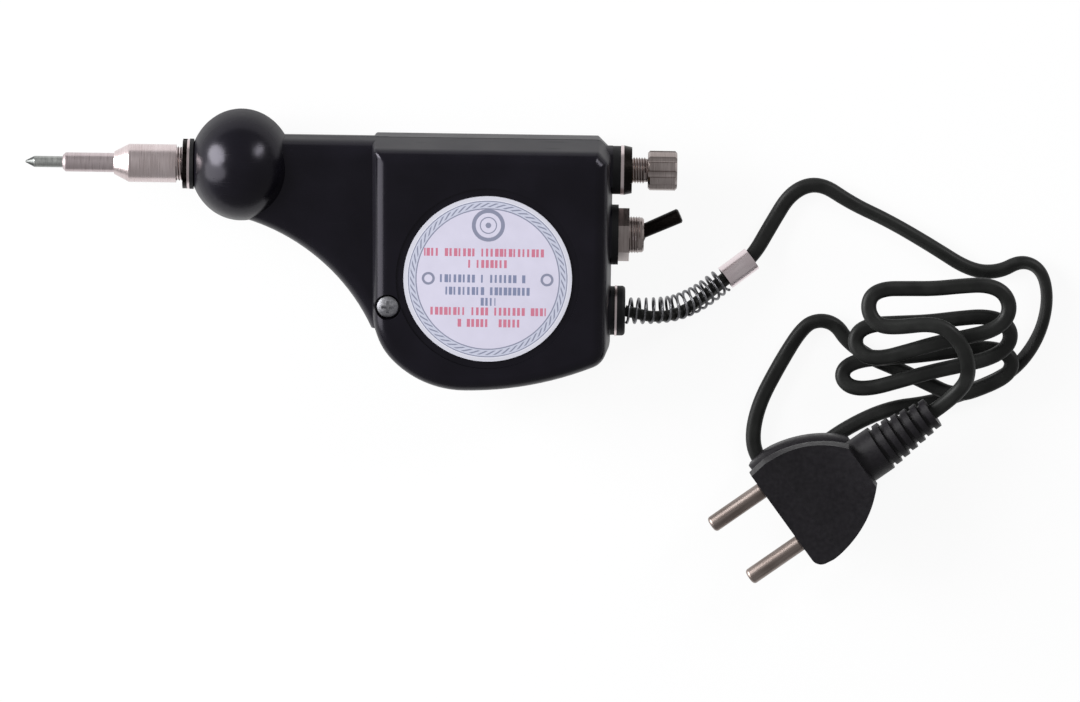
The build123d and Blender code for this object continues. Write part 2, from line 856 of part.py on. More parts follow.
pin_length = 2 * sqrt(switch_bush_radius ** 2 - lever_pin_radius ** 2)
with BuildPart() as switch_pin:
    with Locations(pivot):
        Cylinder(lever_pin_radius, pin_length)
keep(switch_pin, "switch_pin")

lever_direction = (cos(radians(lever_tilt)), sin(radians(lever_tilt)), 0)
lever_plane = Plane(origin=pivot, x_dir=lever_direction, z_dir=(0, 0, 1))
with BuildPart() as switch_lever:
    with BuildSketch(lever_plane):
        with BuildLine():
            Polyline(
                (0, 0),
                (-lever_ball_radius - lever_tail, 0),
                (-lever_ball_radius - lever_tail, lever_tail_radius),
                (0, lever_tail_radius),
                (0, lever_root_radius),
                (lever_length - lever_edge, lever_tip_radius),
                (lever_length, lever_tip_radius - lever_edge),
                (lever_length, 0),
                close=True,
            )
        make_face()
    revolve(axis=Axis(pivot, lever_direction))
    with Locations(pivot):
        Sphere(lever_ball_radius)
        Cylinder(lever_pin_radius + slide_gap, 2 * lever_ball_radius, mode=Mode.SUBTRACT)
keep(switch_lever, "switch_lever")

# Cord entry: gasket, washer and grommet, and the length of cord that they and the saddle hold
gland_washer_start = back_wall + gland_gasket_thickness
grommet_flange_start = gland_washer_start + gland_washer_thickness
cord_start = grommet_flange_start + grommet_flange
cord_end = cord_start - cord_inside
neck_bore = grommet_neck_radius + screw_gap
keep(washer(gland_drop, back_wall, gland_gasket_thickness, gland_gasket_radius, neck_bore),
     "gland_gasket")
keep(washer(gland_drop, gland_washer_start, gland_washer_thickness, gland_washer_radius,
            neck_bore), "gland_washer")

with BuildPart() as gland_grommet:
    add(turned(gland_drop, [
        (inner_wall - grommet_lip, cord_hole),
        (cord_start, cord_hole),
        (cord_start, grommet_radius),
        (grommet_flange_start, grommet_radius),
        (grommet_flange_start, grommet_neck_radius),
        (inner_wall, grommet_neck_radius),
        (inner_wall, grommet_lip_radius),
        (inner_wall - grommet_lip, grommet_lip_radius),
    ]).part)
    outer_rim = gland_grommet.faces().sort_by(Axis.X)[-1].edges().sort_by(SortBy.RADIUS)[-1]
    fillet(outer_rim, grommet_round)
keep(gland_grommet, "gland_grommet")

with BuildPart() as cord_inner:
    with BuildSketch(across_plane(gland_drop, cord_end)):
        Circle(cord_radius)
    extrude(amount=cord_inside)
keep(cord_inner, "cord_inner")

clamp_screw_places = [(clamp_middle, -gland_drop + side * clamp_screw_spread) for side in (-1, 1)]
with BuildPart() as cord_clamp:
    with BuildSketch(across_plane(gland_drop, clamp_start)):
        Circle(cord_hole + clamp_band)
        with Locations((0, -clamp_ear / 2)):
            Rectangle(clamp_width, clamp_width, align=(Align.CENTER, Align.MAX),
                      mode=Mode.SUBTRACT)
        Rectangle(clamp_width, clamp_ear)
        Circle(cord_hole, mode=Mode.SUBTRACT)
    extrude(amount=clamp_length)
    with BuildSketch(seam):
        with Locations(*clamp_screw_places):
            Circle(clamp_screw_radius + screw_gap)
    extrude(amount=clamp_ear, both=True, mode=Mode.SUBTRACT)
keep(cord_clamp, "cord_clamp")

with BuildPart() as clamp_screws:
    with BuildSketch(seam.offset(clamp_ear / 2)):
        with Locations(*clamp_screw_places):
            Circle(clamp_head_radius)
    extrude(amount=clamp_head)
    with BuildSketch(seam.offset(clamp_ear / 2)):
        with Locations(*clamp_screw_places):
            Circle(clamp_screw_radius)
    extrude(amount=-clamp_ear - clamp_screw_bite)
keep(clamp_screws, "clamp_screws")

# Wires inside: cord to switch, cord to winding, and switch to winding
terminal_along = switch_body_front - terminal_length / 2
lead_above_core = core_back - lead_spread
lead_across_core = core_back - core_yoke / 2
winding_side = lower_leg + core_leg / 2 + winding_depth / 2
lead_routes = [
    [
        (terminal_along, -terminal_drops[1], terminal_width / 2),
        (terminal_along, -terminal_drops[1], lead_height),
        (lead_above_core, -terminal_drops[1] - terminal_pitch, lead_height),
        (lead_above_core, -gland_drop + terminal_length, lead_height),
        (terminal_along, -gland_drop + lead_spread, 0),
        (cord_end, -gland_drop + lead_spread, 0),
    ],
    [
        (cord_end, -gland_drop - lead_spread, 0),
        (terminal_along, -gland_drop - lead_spread, 0),
        (core_back + lead_spread, -winding_side, 0),
        (bobbin_end, -winding_side, 0),
    ],
    [
        (terminal_along, -terminal_drops[0], terminal_width / 2),
        (terminal_along, -terminal_drops[0], lead_height),
        (lead_above_core - lead_bend, -terminal_drops[0] - terminal_length, lead_height),
        (lead_across_core - lead_bend, -lower_leg + terminal_pitch, lead_height),
        (bobbin_end, -lower_leg + terminal_pitch, lead_height),
    ],
]
with BuildPart() as lead_wires:
    for route in lead_routes:
        with BuildLine(seam):
            lead_line = FilletPolyline(*route, radius=lead_bend)
        with BuildSketch(Plane(origin=lead_line @ 0, z_dir=lead_line % 0)):
            Circle(lead_radius)
        sweep(path=lead_line)
keep(lead_wires, "lead_wires")

# Housing screws with their nuts, and the round label plate
with BuildPart() as housing_screws:
    head_seat = half_depth - screw_sink
    head_height = screw_head + screw_head_dome
    for place in boss_places:
        middle = seam.from_local_coords((place[0], place[1], head_seat))
        with BuildSketch(Plane(origin=middle, x_dir=(1, 0, 0), z_dir=(0, -1, 0))):
            with BuildLine():
                dome = TangentArc((0, head_height), (screw_head_radius, screw_head), tangent=(1, 0))
                Polyline(dome @ 1, (screw_head_radius, 0), (0, 0), dome @ 0)
            make_face()
        revolve(axis=Axis(middle, (0, 0, 1)))
    with BuildSketch(seam.offset(head_seat)):
        with Locations(*boss_places):
            Circle(screw_radius)
    extrude(amount=-head_seat - half_depth + housing_nut_depth - housing_nut_thickness)
    with BuildSketch(seam.offset(head_seat + head_height - recess_depth)):
        with Locations(*boss_places):
            Rectangle(recess_length, recess_width)
            Rectangle(recess_width, recess_length)
    extrude(amount=recess_depth, mode=Mode.SUBTRACT)
keep(housing_screws, "housing_screws")

with BuildPart() as housing_nuts:
    with BuildSketch(seam.offset(-half_depth + housing_nut_depth)):
        with Locations(*boss_places):
            RegularPolygon(housing_nut_across / 2, 6, major_radius=False)
            Circle(screw_radius + screw_gap, mode=Mode.SUBTRACT)
    extrude(amount=-housing_nut_thickness)
keep(housing_nuts, "housing_nuts")

with BuildPart() as label_disc:
    with BuildSketch(seam.offset(half_depth - label_recess)):
        with Locations(label_middle):
            Circle(label_radius)
    extrude(amount=label_thickness)
keep(label_disc, "label_disc")

# Plug: flat moulded body, ribbed boot and two round pins
plug_origin = on_table(*plug_face)
plug_direction = Vector(cos(radians(plug_angle)), sin(radians(plug_angle)), 0)
plug_plane = Plane(origin=plug_origin, x_dir=plug_direction, z_dir=(0, 0, 1))
plug_side = Vector(-plug_direction.Y, plug_direction.X, 0)
grip_half = (plug_neck[0] - plug_grip_start) / 2
grip_radius = (grip_half**2 + plug_grip_depth**2) / (2 * plug_grip_depth)
rib_pitch = (boot_length - boot_ribs_start) / boot_ribs
boot_outline = [(boot_start, 0), (boot_start, boot_radius), (boot_ribs_start, boot_radius)]
for rib in range(boot_ribs):
    rib_start = boot_ribs_start + rib * rib_pitch
    rib_radius = boot_radius + (boot_end_radius - boot_radius) * (rib + 1) / boot_ribs
    groove_end = rib_start + (1 - boot_rib_share) * rib_pitch
    boot_outline += [
        (rib_start, rib_radius - boot_groove),
        (groove_end, rib_radius - boot_groove),
        (groove_end, rib_radius),
        (rib_start + rib_pitch, rib_radius),
    ]

with BuildPart() as plug_half:
    with BuildSketch(plug_plane) as plug_sketch:
        with BuildLine():
            front_flank = Polyline(
                (0, 0),
                (0, plug_face_width / 2),
                (plug_front_length, plug_width / 2),
            )
            ThreePointArc(front_flank @ 1, plug_shoulder, plug_neck)
            Line(plug_neck, (plug_neck[0], 0))
            mirror(about=Plane.XZ)
        make_face()
        fillet(plug_sketch.vertices().sort_by(Axis(plug_origin, plug_direction))[:2], plug_corner)
    extrude(amount=plug_thickness / 2, taper=plug_draft)
    fillet(plug_half.faces().sort_by(Axis.Z)[-1].edges(), plug_round)

with BuildPart() as plug_body:
    add(plug_half.part)
    mirror(plug_half.part, about=plug_plane)
    with BuildSketch(plug_plane):
        with BuildLine():
            Polyline(*boot_outline, (boot_length, 0), close=True)
        make_face()
    revolve(axis=Axis(plug_origin, plug_direction))
    with BuildSketch(Plane(origin=plug_origin, x_dir=plug_direction, z_dir=-plug_side)):
        with Locations((plug_grip_start + grip_half, 0)):
            with GridLocations(0, plug_thickness + 2 * (grip_radius - plug_grip_depth), 1, 2):
                Circle(grip_radius)
    extrude(amount=plug_width, both=True, mode=Mode.SUBTRACT)
    with BuildSketch(Plane(origin=plug_origin, x_dir=(0, 0, 1), z_dir=plug_direction)):
        with GridLocations(0, pin_spacing, 1, 2):
            Circle(pin_root_radius)
    extrude(amount=pin_seat, mode=Mode.SUBTRACT)
keep(plug_body, "plug_body")

pin_front = plug_origin - plug_direction * pin_reach
with BuildPart() as plug_pins:
    with BuildSketch(Plane(origin=pin_front, x_dir=(0, 0, 1), z_dir=plug_direction)) as pin_tips:
        with GridLocations(0, pin_spacing, 1, 2):
            Circle(pin_radius)
    extrude(amount=pin_reach - pin_root_shown)
    with BuildSketch(pin_tips.workplanes[0]):
        with GridLocations(0, pin_spacing, 1, 2):
            Circle(pin_root_radius)
    extrude(amount=pin_reach + pin_seat)
    ends = plug_pins.edges().filter_by(GeomType.CIRCLE).sort_by(Axis(pin_front, plug_direction))
    fillet(ends[:2], pin_round)
keep(plug_pins, "plug_pins")

# Hank: its line by formula, a number of turns after the foot of the first loop
def hank_point(turns):
    """A point of the hank's line."""
    angle = 2 * pi * turns - pi / 2
    left = on_table(*hank_left, 0) + Vector(*hank_left_step) * turns
    right = on_table(*hank_right, 0) + Vector(*hank_right_step) * turns
    along = (right - left) / 2
    side = Vector(0, 0, 1).cross(along).normalized()
    width = (hank_width + hank_width_step * turns) * (1 - hank_left_share * cos(angle))
    across = width * (sin(angle) + hank_flat_share * sin(3 * angle))
    height = hank_base + hank_climb * turns - hank_roll * sin(angle)
    return (left + right) / 2 + along * cos(angle) + side * across + Vector(0, 0, height)


def hank_direction(turns):
    """The way the hank's line runs there."""
    return (hank_point(turns + small_step) - hank_point(turns - small_step)).normalized()


hank_turns = [hank_first_turn + quarter / 4 for quarter in range(hank_quarters + 1)]
hank_places = [hank_point(turns) for turns in hank_turns]
hank_directions = [hank_direction(turns) for turns in hank_turns]
hank_start = hank_places[0] - hank_directions[0] * 2 * cord_radius
hank_end = hank_places[-1] + hank_directions[-1] * 2 * cord_radius
hank_loops = biarcs(hank_places, hank_directions)
with BuildLine() as hank_line:
    Line(hank_start, hank_places[0])
    add(hank_loops.edges())
    Line(hank_places[-1], hank_end)
hank_line = hank_line.wire()
keep(tube(hank_line, cord_radius, "cord_hank"), "cord_hank")

# Cord from the gland to the hank
lead_points = [on_table(*point) for point in [
    (cord_start, -gland_drop, seam_z),
    (117.5, -41.0, 16.0),
    (124.6, -40.6, 14.0),
    (131.3, -38.4, 9.8),
    (137.7, -34.1, 6.2),
    (146.6, -27.6, 4.2),
    (152.0, -18.0, 2.2),
    (157.6, -8.2, 2.2),
    (165.6, -5.2, 2.2),
    (175.0, -11.4, 2.2),
    (186.0, -16.4, 2.2),
    (198.5, -23.6, 2.2),
    (209.6, -30.6, 2.2),
    (217.8, -31.0, 2.2),
    (224.4, -27.2, 2.2),
    (230.4, -30.0, 2.2),
    (232.4, -39.0, 2.2),
    (230.0, -50.0, 2.2),
    (223.0, -60.0, 2.2),
    (211.0, -66.0, 2.2),
    (199.0, -69.8, 2.2),
    (186.5, -71.5, 2.2),
    (173.0, -78.5, 2.2),
    (162.5, -87.5, 2.2),
    (154.0, -91.5, 2.2),
    (147.6, -84.5, 2.2),
    (148.8, -72.0, 2.2),
    (156.0, -57.5, 2.2),
    (162.0, -47.6, 2.2),
    (166.6, -45.6, 2.2),
    (171.4, -47.0, 2.2),
    (174.6, -51.8, 2.2),
    (181.0, -56.5, 2.2),
    (189.0, -59.5, 3.2),
    (197.5, -63.0, 5.6),
]]
lead_points += [hank_start - hank_directions[0] * lead_join, hank_start]
lead_line = cord_route(lead_points, "cord_lead")
keep(tube(lead_line, cord_radius, "cord_lead"), "cord_lead")

# Cord from the hank over its loops to the boot
boot_end = plug_origin + plug_direction * boot_length
tail_points = [hank_end, hank_end + hank_directions[-1] * tail_join]
tail_points += [on_table(*point) for point in [
    (205.8, -46.2, 23.2),
    (209.4, -54.6, 20.4),
]]
tail_points += [boot_end + plug_direction * boot_join, boot_end]
tail_line = cord_route(tail_points, "cord_tail")
keep(tube(tail_line, cord_radius, "cord_tail"), "cord_tail")

# Spring guard wound about the first stretch of the cord, and its ferrule
guard_start = guard_wire / 2 + slide_gap
guard_pitch = (guard_end - guard_start) / guard_turns


def guard_point(half_turns):
    """A point of the guard's wire, half turn by half turn along the cord."""
    along = guard_start + half_turns * guard_pitch / 2
    middle = lead_line.position_at(along / lead_line.length)
    forward = lead_line.tangent_at(along / lead_line.length)
    side = forward.cross(Vector(0, 0, 1)).normalized()
    up = side.cross(forward)
    angle = pi * half_turns
    return middle + (side * cos(angle) + up * sin(angle)) * guard_radius


guard_steps = range(2 * guard_turns + 1)
guard_places = [guard_point(step) for step in guard_steps]
guard_directions = [
    (guard_point(step + small_step) - guard_point(max(step - small_step, 0))).normalized()
    for step in guard_steps
]
guard_line = biarcs(guard_places, guard_directions)
keep(tube(guard_line, guard_wire / 2, "spring_guard"), "spring_guard")

ferrule_direction = (lead_points[5] - lead_points[4]).normalized()
ferrule_start = lead_points[4] + ferrule_direction * ferrule_offset
with BuildPart() as guard_ferrule:
    with BuildSketch(Plane(origin=ferrule_start, z_dir=ferrule_direction)):
        Circle(ferrule_radius)
        Circle(ferrule_bore, mode=Mode.SUBTRACT)
    extrude(amount=ferrule_length)
keep(guard_ferrule, "guard_ferrule")

# Least gap of the hank to itself, measured on points of its line
hank_samples = [hank_line.position_at(step / gap_samples) for step in range(gap_samples + 1)]
hank_gap = min(
    (near - far).length
    for index, near in enumerate(hank_samples)
    for far in hank_samples[index + gap_skip:]
) - 2 * cord_radius
print("cord_hank gap to itself", round(hank_gap, 2))

os.makedirs("parts", exist_ok=True)
for piece in pieces:
    export_step(piece.part, f"parts/{piece.part.label}.step")
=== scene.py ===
"""Electric engraver: finishes, cord, threads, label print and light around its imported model."""

from math import cos, pi, radians, sin

import bpy
from mathutils import Matrix, Vector


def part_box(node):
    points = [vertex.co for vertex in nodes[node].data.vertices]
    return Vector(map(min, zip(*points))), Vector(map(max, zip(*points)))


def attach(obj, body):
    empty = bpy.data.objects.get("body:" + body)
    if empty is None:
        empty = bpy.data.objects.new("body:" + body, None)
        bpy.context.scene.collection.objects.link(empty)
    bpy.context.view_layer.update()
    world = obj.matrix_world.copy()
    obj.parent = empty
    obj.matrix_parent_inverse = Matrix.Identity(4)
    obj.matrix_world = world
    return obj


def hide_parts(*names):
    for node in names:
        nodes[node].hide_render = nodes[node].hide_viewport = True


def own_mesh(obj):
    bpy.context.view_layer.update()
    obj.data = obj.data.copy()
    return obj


bl_info = {
    "name": "Electric engraver",
    "version": (1, 0, 0),
    "blender": (4, 5, 0),
    "location": "View3D > Sidebar > Engraver",
    "description": "Builds the looks of an electric engraver around its packed model",
    "category": "Object",
}

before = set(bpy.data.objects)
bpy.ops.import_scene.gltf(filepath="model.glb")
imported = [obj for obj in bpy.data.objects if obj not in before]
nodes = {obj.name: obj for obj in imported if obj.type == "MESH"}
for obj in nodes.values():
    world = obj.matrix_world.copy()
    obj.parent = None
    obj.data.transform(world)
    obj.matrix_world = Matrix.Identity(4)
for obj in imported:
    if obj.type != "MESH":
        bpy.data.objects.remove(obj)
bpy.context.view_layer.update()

MM = 0.001


def middle(node):
    """The middle of a node's box at rest."""
    low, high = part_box(node)
    return (Vector(low) + Vector(high)) / 2


# The needle's axis, the middles of the switch and the label, the height of the seam between the
# two halves and the ball's centre along the tool, all found on the solids that carry them
AXIS = middle("guide_sleeve")
SWITCH = middle("switch_bush")
LABEL = middle("label_disc")
FRONT_LOW = Vector(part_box("housing_front")[0])
SEAM_Z = FRONT_LOW.z
NOSE_TO_BALL = 13.6 * MM
BALL_X = FRONT_LOW.x + NOSE_TO_BALL


def place(x, y, z):
    """A point given in millimetres from the ball's centre and the needle's axis, z from the table."""
    return Vector((BALL_X + x * MM, AXIS.y + y * MM, z * MM))


class EngraverSizes(bpy.types.PropertyGroup):
    """Sizes of the pieces that the solids leave to this file."""

    cord_width: bpy.props.FloatProperty(
        name="Cord width", description="Width of the flat mains cord",
        default=4.4 * MM, subtype="DISTANCE", unit="LENGTH",
    )
    cord_thickness: bpy.props.FloatProperty(
        name="Cord thickness", description="Thickness of the flat mains cord",
        default=3.6 * MM, subtype="DISTANCE", unit="LENGTH",
    )
    thread_pitch: bpy.props.FloatProperty(
        name="Thread pitch", description="Pitch of the threads on the nose, switch and adjuster",
        default=0.75 * MM, subtype="DISTANCE", unit="LENGTH",
    )
    screw_root: bpy.props.FloatProperty(
        name="Screw root", description="Root radius of the adjusting screw's thread",
        default=3.35 * MM, subtype="DISTANCE", unit="LENGTH",
    )
    spring_wire: bpy.props.FloatProperty(
        name="Spring wire", description="Diameter of the return spring's wire",
        default=0.7 * MM, subtype="DISTANCE", unit="LENGTH",
    )
    spring_turns: bpy.props.IntProperty(
        name="Spring turns", description="Turns of the return spring", default=5, min=1,
    )


class EngraverColours(bpy.types.PropertyGroup):
    """Colours that a user would change."""

    housing: bpy.props.StringProperty(
        name="Housing", description="Colour of the moulded housing", default="#09080d",
    )
    cord: bpy.props.StringProperty(
        name="Cord", description="Colour of the cord's sheath", default="#1c1d1c",
    )
    plate: bpy.props.StringProperty(
        name="Label", description="Ground colour of the round label", default="#c9c6d8",
    )
    red_ink: bpy.props.StringProperty(
        name="Red ink", description="Colour of the label's red rows", default="#bd7187",
    )
    blue_ink: bpy.props.StringProperty(
        name="Blue ink", description="Colour of the label's grey-blue rows", default="#777e9a",
    )
    floor: bpy.props.StringProperty(
        name="Floor", description="Colour of the table", default="#f4f4f6",
    )


def linear(code):
    """A linear colour with alpha from an sRGB hex code."""
    parts = [int(code[i:i + 2], 16) / 255 for i in (1, 3, 5)]
    return tuple(p / 12.92 if p <= 0.04045 else ((p + 0.055) / 1.055) ** 2.4 for p in parts) + (1,)


def add(tree, kind, settings=None, **links):
    """A node with its settings, and its inputs linked or set by name."""
    node = tree.nodes.new(kind)
    for key, value in (settings or {}).items():
        setattr(node, key, value)
    for name, value in links.items():
        socket = next(s for s in node.inputs if s.enabled and s.name.replace(" ", "_") == name)
        if isinstance(value, bpy.types.NodeSocket):
            tree.links.new(value, socket)
        else:
            socket.default_value = value
    return node


def maths(tree, operation, *values):
    """The result of a math node whose inputs are these sockets or numbers, in order."""
    node = add(tree, "ShaderNodeMath", {"operation": operation})
    for socket, value in zip(node.inputs, values):
        if isinstance(value, bpy.types.NodeSocket):
            tree.links.new(value, socket)
        else:
            socket.default_value = value
    return node.outputs[0]


def parted(tree, vector):
    """The X, Y and Z of a vector, by name."""
    return add(tree, "ShaderNodeSeparateXYZ", Vector=vector).outputs


def noise(tree, vector, size, detail):
    """Noise with blobs of this size."""
    return add(tree, "ShaderNodeTexNoise", Vector=vector, Scale=1 / size, Detail=detail).outputs["Fac"]


def carried(tree, value, from_range, to_range):
    """A value carried over from one range to another."""
    node = add(tree, "ShaderNodeMapRange", Value=value, From_Min=from_range[0], From_Max=from_range[1],
               To_Min=to_range[0], To_Max=to_range[1])
    return node.outputs["Result"]


def painted(tree, mask, under, over):
    """One colour painted over another through a mask."""
    node = add(tree, "ShaderNodeMix", {"data_type": "RGBA"}, Factor=mask, A=under, B=over)
    return next(socket for socket in node.outputs if socket.enabled)


def shade(colour, factor):
    """A colour made lighter or darker by a factor."""
    return tuple(min(part * factor, 1) for part in colour[:3]) + (1,)


def raised(tree, shader, pattern, height):
    """Raise a surface along a pattern, by up to a height in mm."""
    bump = add(tree, "ShaderNodeBump", Height=pattern, Distance=height * MM)
    tree.links.new(bump.outputs["Normal"], shader.inputs["Normal"])


def start(name):
    """A new material, its tree, its shader and its object coordinates."""
    material = bpy.data.materials.new(name)
    material.use_nodes = True
    tree = material.node_tree
    shader = tree.nodes["Principled BSDF"]
    return material, tree, shader, add(tree, "ShaderNodeTexCoord").outputs["Object"]


def ramp(tree, value, stops):
    """A colour ramp over value with its stops as (place, colour)."""
    node = add(tree, "ShaderNodeValToRGB", Fac=value)
    elements = node.color_ramp.elements
    elements[0].position, elements[0].color = stops[0]
    elements[1].position, elements[1].color = stops[-1]
    for position, colour in stops[1:-1]:
        elements.new(position).color = colour
    return node.outputs["Color"]


# Finishes: dark and light hex, metallic, lowest and highest roughness, grain in mm along X, Y and Z,
# height of the grain in mm, and the angle in degrees that the grain is turned by in plan
FINISHES = {
    # Nickel plate over turned brass: warm grey with fine rings of the lathe
    "Nickel plated brass": ("#cbbcbc", "#e3d6d7", 1, 0.25, 0.34, (0.35, 7, 7), 0.0002, 0),
    # The same plate where fingers and tools have dulled it
    "Dulled nickel plate": ("#8f8481", "#b2a8a6", 1, 0.26, 0.36, (0.3, 7, 7), 0.0003, 0),
    # Nickel plate on a drawn tube: smooth, with faint lines along the ferrule
    "Drawn nickel plate": ("#e2d3d7", "#f0e4e7", 1, 0.26, 0.3, (14, 1.2, 1.2), 0.00003, 36),
    # The plug's pins: drawn brass, with its colour darkened as painted shade for the dark room that they
    # reflect
    "Drawn brass pins": ("#766b66", "#988d88", 1, 0.36, 0.42, (14, 0.9, 0.9), 0.00002, 36),
    # Bright turned steel, a little duller and cooler
    "Turned steel": ("#bcaeb0", "#d4c8ca", 1, 0.26, 0.36, (0.3, 6, 6), 0.0002, 0),
    # Ground carbide: grey, matt
    "Ground carbide": ("#989a98", "#b0b2af", 1, 0.36, 0.46, (0.4, 2, 2), 0.0003, 0),
    # Zinc plated steel of screws and clips
    "Zinc plated steel": ("#85858a", "#b4b4b9", 1, 0.3, 0.42, (0.5, 0.5, 0.5), 0.0006, 0),
    # Black oxide on steel: nearly black with a metal gleam
    "Blackened steel": ("#100e0d", "#221e1c", 1, 0.34, 0.5, (0.4, 0.4, 0.4), 0.002, 0),
    # Drawn spring wire
    "Drawn spring wire": ("#5a5a5d", "#8e8e91", 1, 0.24, 0.38, (0.3, 0.3, 0.3), 0.001, 0),
    # Stacked electrical steel: fine layers in Z
    "Stacked electrical steel": ("#4a4b4e", "#7a7b7f", 1, 0.36, 0.56, (8, 8, 0.5), 0.05, 0),
    # Enamelled copper, wound across the coil
    "Enamelled copper wire": ("#7c3a17", "#c9713a", 1, 0.22, 0.4, (0.35, 9, 9), 0.06, 0),
    # Turned brass
    "Turned brass": ("#9c7b3a", "#c9a860", 1, 0.24, 0.4, (0.3, 6, 6), 0.004, 0),
    # Sintered bronze: open grain
    "Sintered bronze": ("#6d4a2b", "#94683f", 1, 0.42, 0.6, (0.4, 0.4, 0.4), 0.02, 0),
    # Moulded rubber of gaskets and grommet: matt black with a soft grain
    "Moulded rubber": ("#0b0b0d", "#151518", 0, 0.5, 0.7, (0.5, 0.5, 0.5), 0.006, 0),
    # Vinyl of the plug: satin black, faintly mottled
    "Satin moulded vinyl": ("#0f0d11", "#19171b", 0, 0.4, 0.54, (1.2, 1.2, 1.2), 0.006, 0),
    # Nylon of the bobbin
    "Moulded nylon": ("#cfc9b6", "#e3ddcb", 0, 0.4, 0.55, (1.5, 1.5, 1.5), 0.01, 0),
    # Brown phenolic of the switch body
    "Moulded phenolic": ("#2c150d", "#47241a", 0, 0.32, 0.48, (0.8, 0.8, 0.8), 0.01, 0),
    # Insulation of the inner wires
    "Wire insulation": ("#6e1511", "#96231c", 0, 0.35, 0.5, (1, 1, 1), 0.01, 0),
}

# Length of the needle's cone, in mm
POINT_LENGTH = 2.7

# Specular level of rubber, vinyl, nylon and other plain mouldings
MOULDED_SPECULAR = 0.25

# Which node takes which finish
WORN_BY = {
    "Nickel plated brass": ("guide_sleeve", "nose_washer", "adjuster_washer", "gland_washer",
                            "guide_bush"),
    "Dulled nickel plate": ("adjuster_knob", "adjuster_screw", "switch_nut", "switch_bush"),
    "Drawn nickel plate": ("guard_ferrule",),
    "Drawn brass pins": ("plug_pins",),
    "Turned steel": ("needle_bar", "armature_nut", "switch_pin", "core_screws"),
    "Zinc plated steel": ("housing_screws", "housing_nuts", "cord_clamp", "clamp_screws"),
    "Blackened steel": ("guide_locknut", "adjuster_nut", "switch_lever"),
    "Drawn spring wire": ("spring_guard", "return_spring"),
    "Stacked electrical steel": ("core_stack", "armature_plate"),
    "Enamelled copper wire": ("coil_winding",),
    "Turned brass": ("adjuster_bush", "switch_terminals"),
    "Sintered bronze": ("tail_guide",),
    "Moulded rubber": ("nose_ring", "adjuster_gasket", "switch_gasket", "gland_gasket",
                       "gland_grommet"),
    "Satin moulded vinyl": ("plug_body",),
    "Moulded nylon": ("bobbin",),
    "Moulded phenolic": ("switch_body",),
    "Wire insulation": ("lead_wires",),
}


def plain_finish(name):
    """A finish from the table above: grain in the colour, the roughness and the height."""
    dark, light, metallic, smooth, rough, grain, height, turned = FINISHES[name]
    material, tree, shader, coords = start(name)
    along_grain = add(tree, "ShaderNodeMapping", {"vector_type": "TEXTURE"}, Vector=coords,
                      Rotation=(0, 0, radians(turned)), Scale=[step * MM for step in grain])
    fine = noise(tree, along_grain.outputs[0], 1, 4)
    both = add(tree, "ShaderNodeMix", Factor=0.45, A=fine, B=noise(tree, coords, 9 * MM, 2))
    tree.links.new(
        ramp(tree, both.outputs["Result"], [(0.35, linear(dark)), (0.65, linear(light))]),
        shader.inputs["Base Color"])
    tree.links.new(carried(tree, fine, (0.3, 0.7), (smooth, rough)), shader.inputs["Roughness"])
    raised(tree, shader, fine, height)
    shader.inputs["Metallic"].default_value = metallic
    if not metallic:
        shader.inputs["Specular IOR Level"].default_value = MOULDED_SPECULAR
    return material


def housing_finish(name):
    """Satin black moulding: a fine spark grain, long faint scratches and duller sides."""
    material, tree, shader, coords = start(name)
    base = linear(bpy.context.scene.engraver_colours.housing)
    cloud = noise(tree, coords, 14 * MM, 4)
    tree.links.new(
        ramp(tree, cloud, [(0.35, base), (0.75, shade(base, 1.7))]), shader.inputs["Base Color"])
    even = carried(tree, cloud, (0.3, 0.7), (0.2, 0.26))
    lines = add(tree, "ShaderNodeMapping", Vector=coords, Rotation=(0, 0, radians(24)),
                Scale=(1 / (18 * MM), 1 / (0.35 * MM), 1 / (4 * MM)))
    scratches = carried(tree, noise(tree, lines.outputs[0], 1, 1), (0.68, 0.76), (0, 0.09))
    # Hands have rubbed the sides duller than the two flat faces
    facing = add(tree, "ShaderNodeTexCoord").outputs["Normal"]
    upright = maths(tree, "ABSOLUTE", parted(tree, facing)["Z"])
    rubbed = carried(tree, upright, (0.12, 0.55), (0.24, 0))
    # Dust in the parting line between the two halves kills its gleam
    seam = maths(tree, "COMPARE", parted(tree, coords)["Z"], SEAM_Z, 0.2 * MM)
    dust = maths(tree, "MULTIPLY_ADD", seam, 0.6, scratches)
    worn = maths(tree, "ADD", rubbed, dust)
    tree.links.new(maths(tree, "ADD", even, worn), shader.inputs["Roughness"])
    raised(tree, shader, noise(tree, coords, 0.45 * MM, 3), 0.002)
    shader.inputs["Specular IOR Level"].default_value = 0.27
    shader.inputs["Specular Tint"].default_value = linear("#f4efff")
    return material


def point_finish(name):
    """The needle's ground carbide, with its cone painted a darker grey."""
    material = plain_finish(name)
    tree = material.node_tree
    colour = tree.nodes["Principled BSDF"].inputs["Base Color"]
    coords = add(tree, "ShaderNodeTexCoord").outputs["Object"]
    cone_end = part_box("needle")[0][0] + POINT_LENGTH * MM
    # The cone is painted a darker grey than the rest of the needle
    darker_cone = carried(tree, parted(tree, coords)["X"], (cone_end, cone_end - 0.3 * MM), (0, 1))
    tree.links.new(painted(tree, darker_cone, colour.links[0].from_socket, linear("#575958")), colour)
    return material


